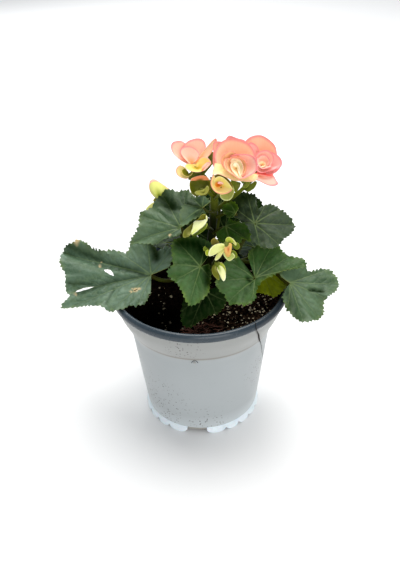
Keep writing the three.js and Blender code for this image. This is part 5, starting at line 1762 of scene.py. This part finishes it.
class BEGONIA_OT_soil(bpy.types.Operator):
    """Builds the soil with its crumbs, perlite beads and fibres"""
    bl_idname = "begonia.soil"
    bl_label = "Soil"

    def execute(self, context):
        look = context.scene.begonia_soil
        peat = soil_material("soil_peat", look.peat, srgb(32, 22, 15))
        perlite = soil_material("soil_perlite", look.perlite, srgb(120, 112, 90))
        coir = stalk_material("soil_coir", look.fibre, srgb(50, 30, 22))
        dry_root = stalk_material("soil_root", srgb(26, 20, 16), srgb(48, 36, 28))
        declare(soil_shape().build("soil_bed", [peat], 80), "soil")
        bed = soil_bed()
        tree = scatter_tree("strew_grains", 1)
        strewn("soil_crumbs", bed, tree, Material=peat, Density=CRUMBS, Smallest=0.0004,
               Largest=look.crumb / 2, Flatness=0.8, Raise=0.0009, Seed=3)
        right = 0.2 + 0.8 * smooth_step([vertex.co.x for vertex in bed.data.vertices], 0.0, 0.03)
        bed.data.attributes["amount"].data.foreach_set("value", right)
        strewn("soil_beads", bed, tree, Material=perlite, Density=BEADS, Smallest=0.0003,
               Largest=look.bead / 2, Flatness=0.9, Raise=0.0005, Seed=8)
        discard(bed)
        declare(fibre_shape().build("soil_fibres", [coir, dry_root], 60), None)
        return {"FINISHED"}


# Stage: floor, lights and camera

def view_matrix():
    """The camera's place and turn at the photograph's viewpoint."""
    height = math.radians(VIEW_HEIGHT)
    back = Vector((0, -math.cos(height), math.sin(height)))
    right = Vector((1, 0, 0))
    up = back.cross(right)
    roll = math.radians(VIEW_ROLL)
    rolled_right = right * math.cos(roll) - up * math.sin(roll)
    rolled_up = right * math.sin(roll) + up * math.cos(roll)
    turn = Matrix((rolled_right, rolled_up, back)).transposed().to_4x4()
    return Matrix.Translation(Vector(VIEW_TARGET) + back * VIEW_DISTANCE) @ turn


def add_light(name, place, size, power, colour):
    """A soft square light that faces the plant."""
    lamp = bpy.data.lights.new(name, "AREA")
    lamp.size = size
    lamp.energy = power
    lamp.color = colour
    made = linked(name, lamp)
    made.location = place
    made.rotation_euler = (Vector(VIEW_TARGET) - Vector(place)).to_track_quat("-Z", "Y").to_euler()


def add_floor(look):
    """A pale matt floor that fades to white away from the pot."""
    mesh = bpy.data.meshes.new("floor")
    corners = [(FLOOR_HALF * x, FLOOR_HALF * y, 0) for x, y in ((-1, -1), (1, -1), (1, 1), (-1, 1))]
    mesh.from_pydata(corners, [], [(0, 1, 2, 3)])
    nodes = Nodes("floor_paper", Roughness=0.9)
    tone = nodes.mix(nodes.ranged(nodes.noise(3), 0.3, 0.7, 0, 0.06), look.floor, (0.8, 0.8, 0.8))
    tone = nodes.mix(nodes.near((0, 0, 0), 1.4), (1, 1, 1), tone)
    mesh.materials.append(nodes.finish(tone))
    floor = linked("floor", mesh)


def add_air(scene):
    """The even light that comes from all round."""
    world = bpy.data.worlds.new("studio")
    world.use_nodes = True
    air = world.node_tree.nodes["Background"].inputs
    air["Color"].default_value = (*AIR_COLOUR, 1)
    air["Strength"].default_value = AIR_STRENGTH
    scene.world = world


def add_camera(scene):
    """The camera at the photograph's viewpoint."""
    camera = linked("camera", bpy.data.cameras.new("camera"))
    camera.data.lens = VIEW_LENS
    camera.data.sensor_width = SENSOR
    camera.matrix_world = view_matrix()
    scene.camera = camera


class BEGONIA_OT_stage(bpy.types.Operator):
    """Sets the pale floor, the soft lights and the camera"""
    bl_idname = "begonia.stage"
    bl_label = "Stage"

    def execute(self, context):
        scene = context.scene
        look = scene.begonia_stage
        add_floor(look)
        for name, place, size, share, colour in LIGHTS:
            add_light(name, place, size, share * look.key, colour)
        add_air(scene)
        add_camera(scene)
        scene.view_settings.view_transform = "Standard"
        return {"FINISHED"}


OPERATORS = (
    BEGONIA_OT_stage, BEGONIA_OT_pot, BEGONIA_OT_soil, BEGONIA_OT_stems,
    BEGONIA_OT_leaves, BEGONIA_OT_blooms, BEGONIA_OT_buds,
)
LOOKS = {
    "begonia_pot": PotLook, "begonia_soil": SoilLook, "begonia_stem": StemLook,
    "begonia_leaf": LeafLook, "begonia_petal": PetalLook, "begonia_stage": StageLook,
}


class BEGONIA_PT_panel(bpy.types.Panel):
    """Settings and buttons for the potted begonia"""
    bl_idname = "BEGONIA_PT_panel"
    bl_label = "Potted begonia"
    bl_space_type = "VIEW_3D"
    bl_region_type = "UI"
    bl_category = "Begonia"

    def draw(self, context):
        for name, look in LOOKS.items():
            box = self.layout.box()
            for label in look.__annotations__:
                box.prop(getattr(context.scene, name), label)
        for operator in OPERATORS:
            self.layout.operator(operator.bl_idname)


def register():
    """Registers the settings, the operators and the panel."""
    for name, look in LOOKS.items():
        bpy.utils.register_class(look)
        setattr(bpy.types.Scene, name, PointerProperty(type=look))
    for operator in OPERATORS:
        bpy.utils.register_class(operator)
    bpy.utils.register_class(BEGONIA_PT_panel)


def unregister():
    """Takes everything that register added away again."""
    bpy.utils.unregister_class(BEGONIA_PT_panel)
    for operator in reversed(OPERATORS):
        bpy.utils.unregister_class(operator)
    for name, look in LOOKS.items():
        delattr(bpy.types.Scene, name)
        bpy.utils.unregister_class(look)


def main():
    """Builds every piece in order."""
    register()
    for operator in OPERATORS:
        group, name = operator.bl_idname.split(".")
        getattr(getattr(bpy.ops, group), name)()
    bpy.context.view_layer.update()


if __name__ == "__main__":
    main()
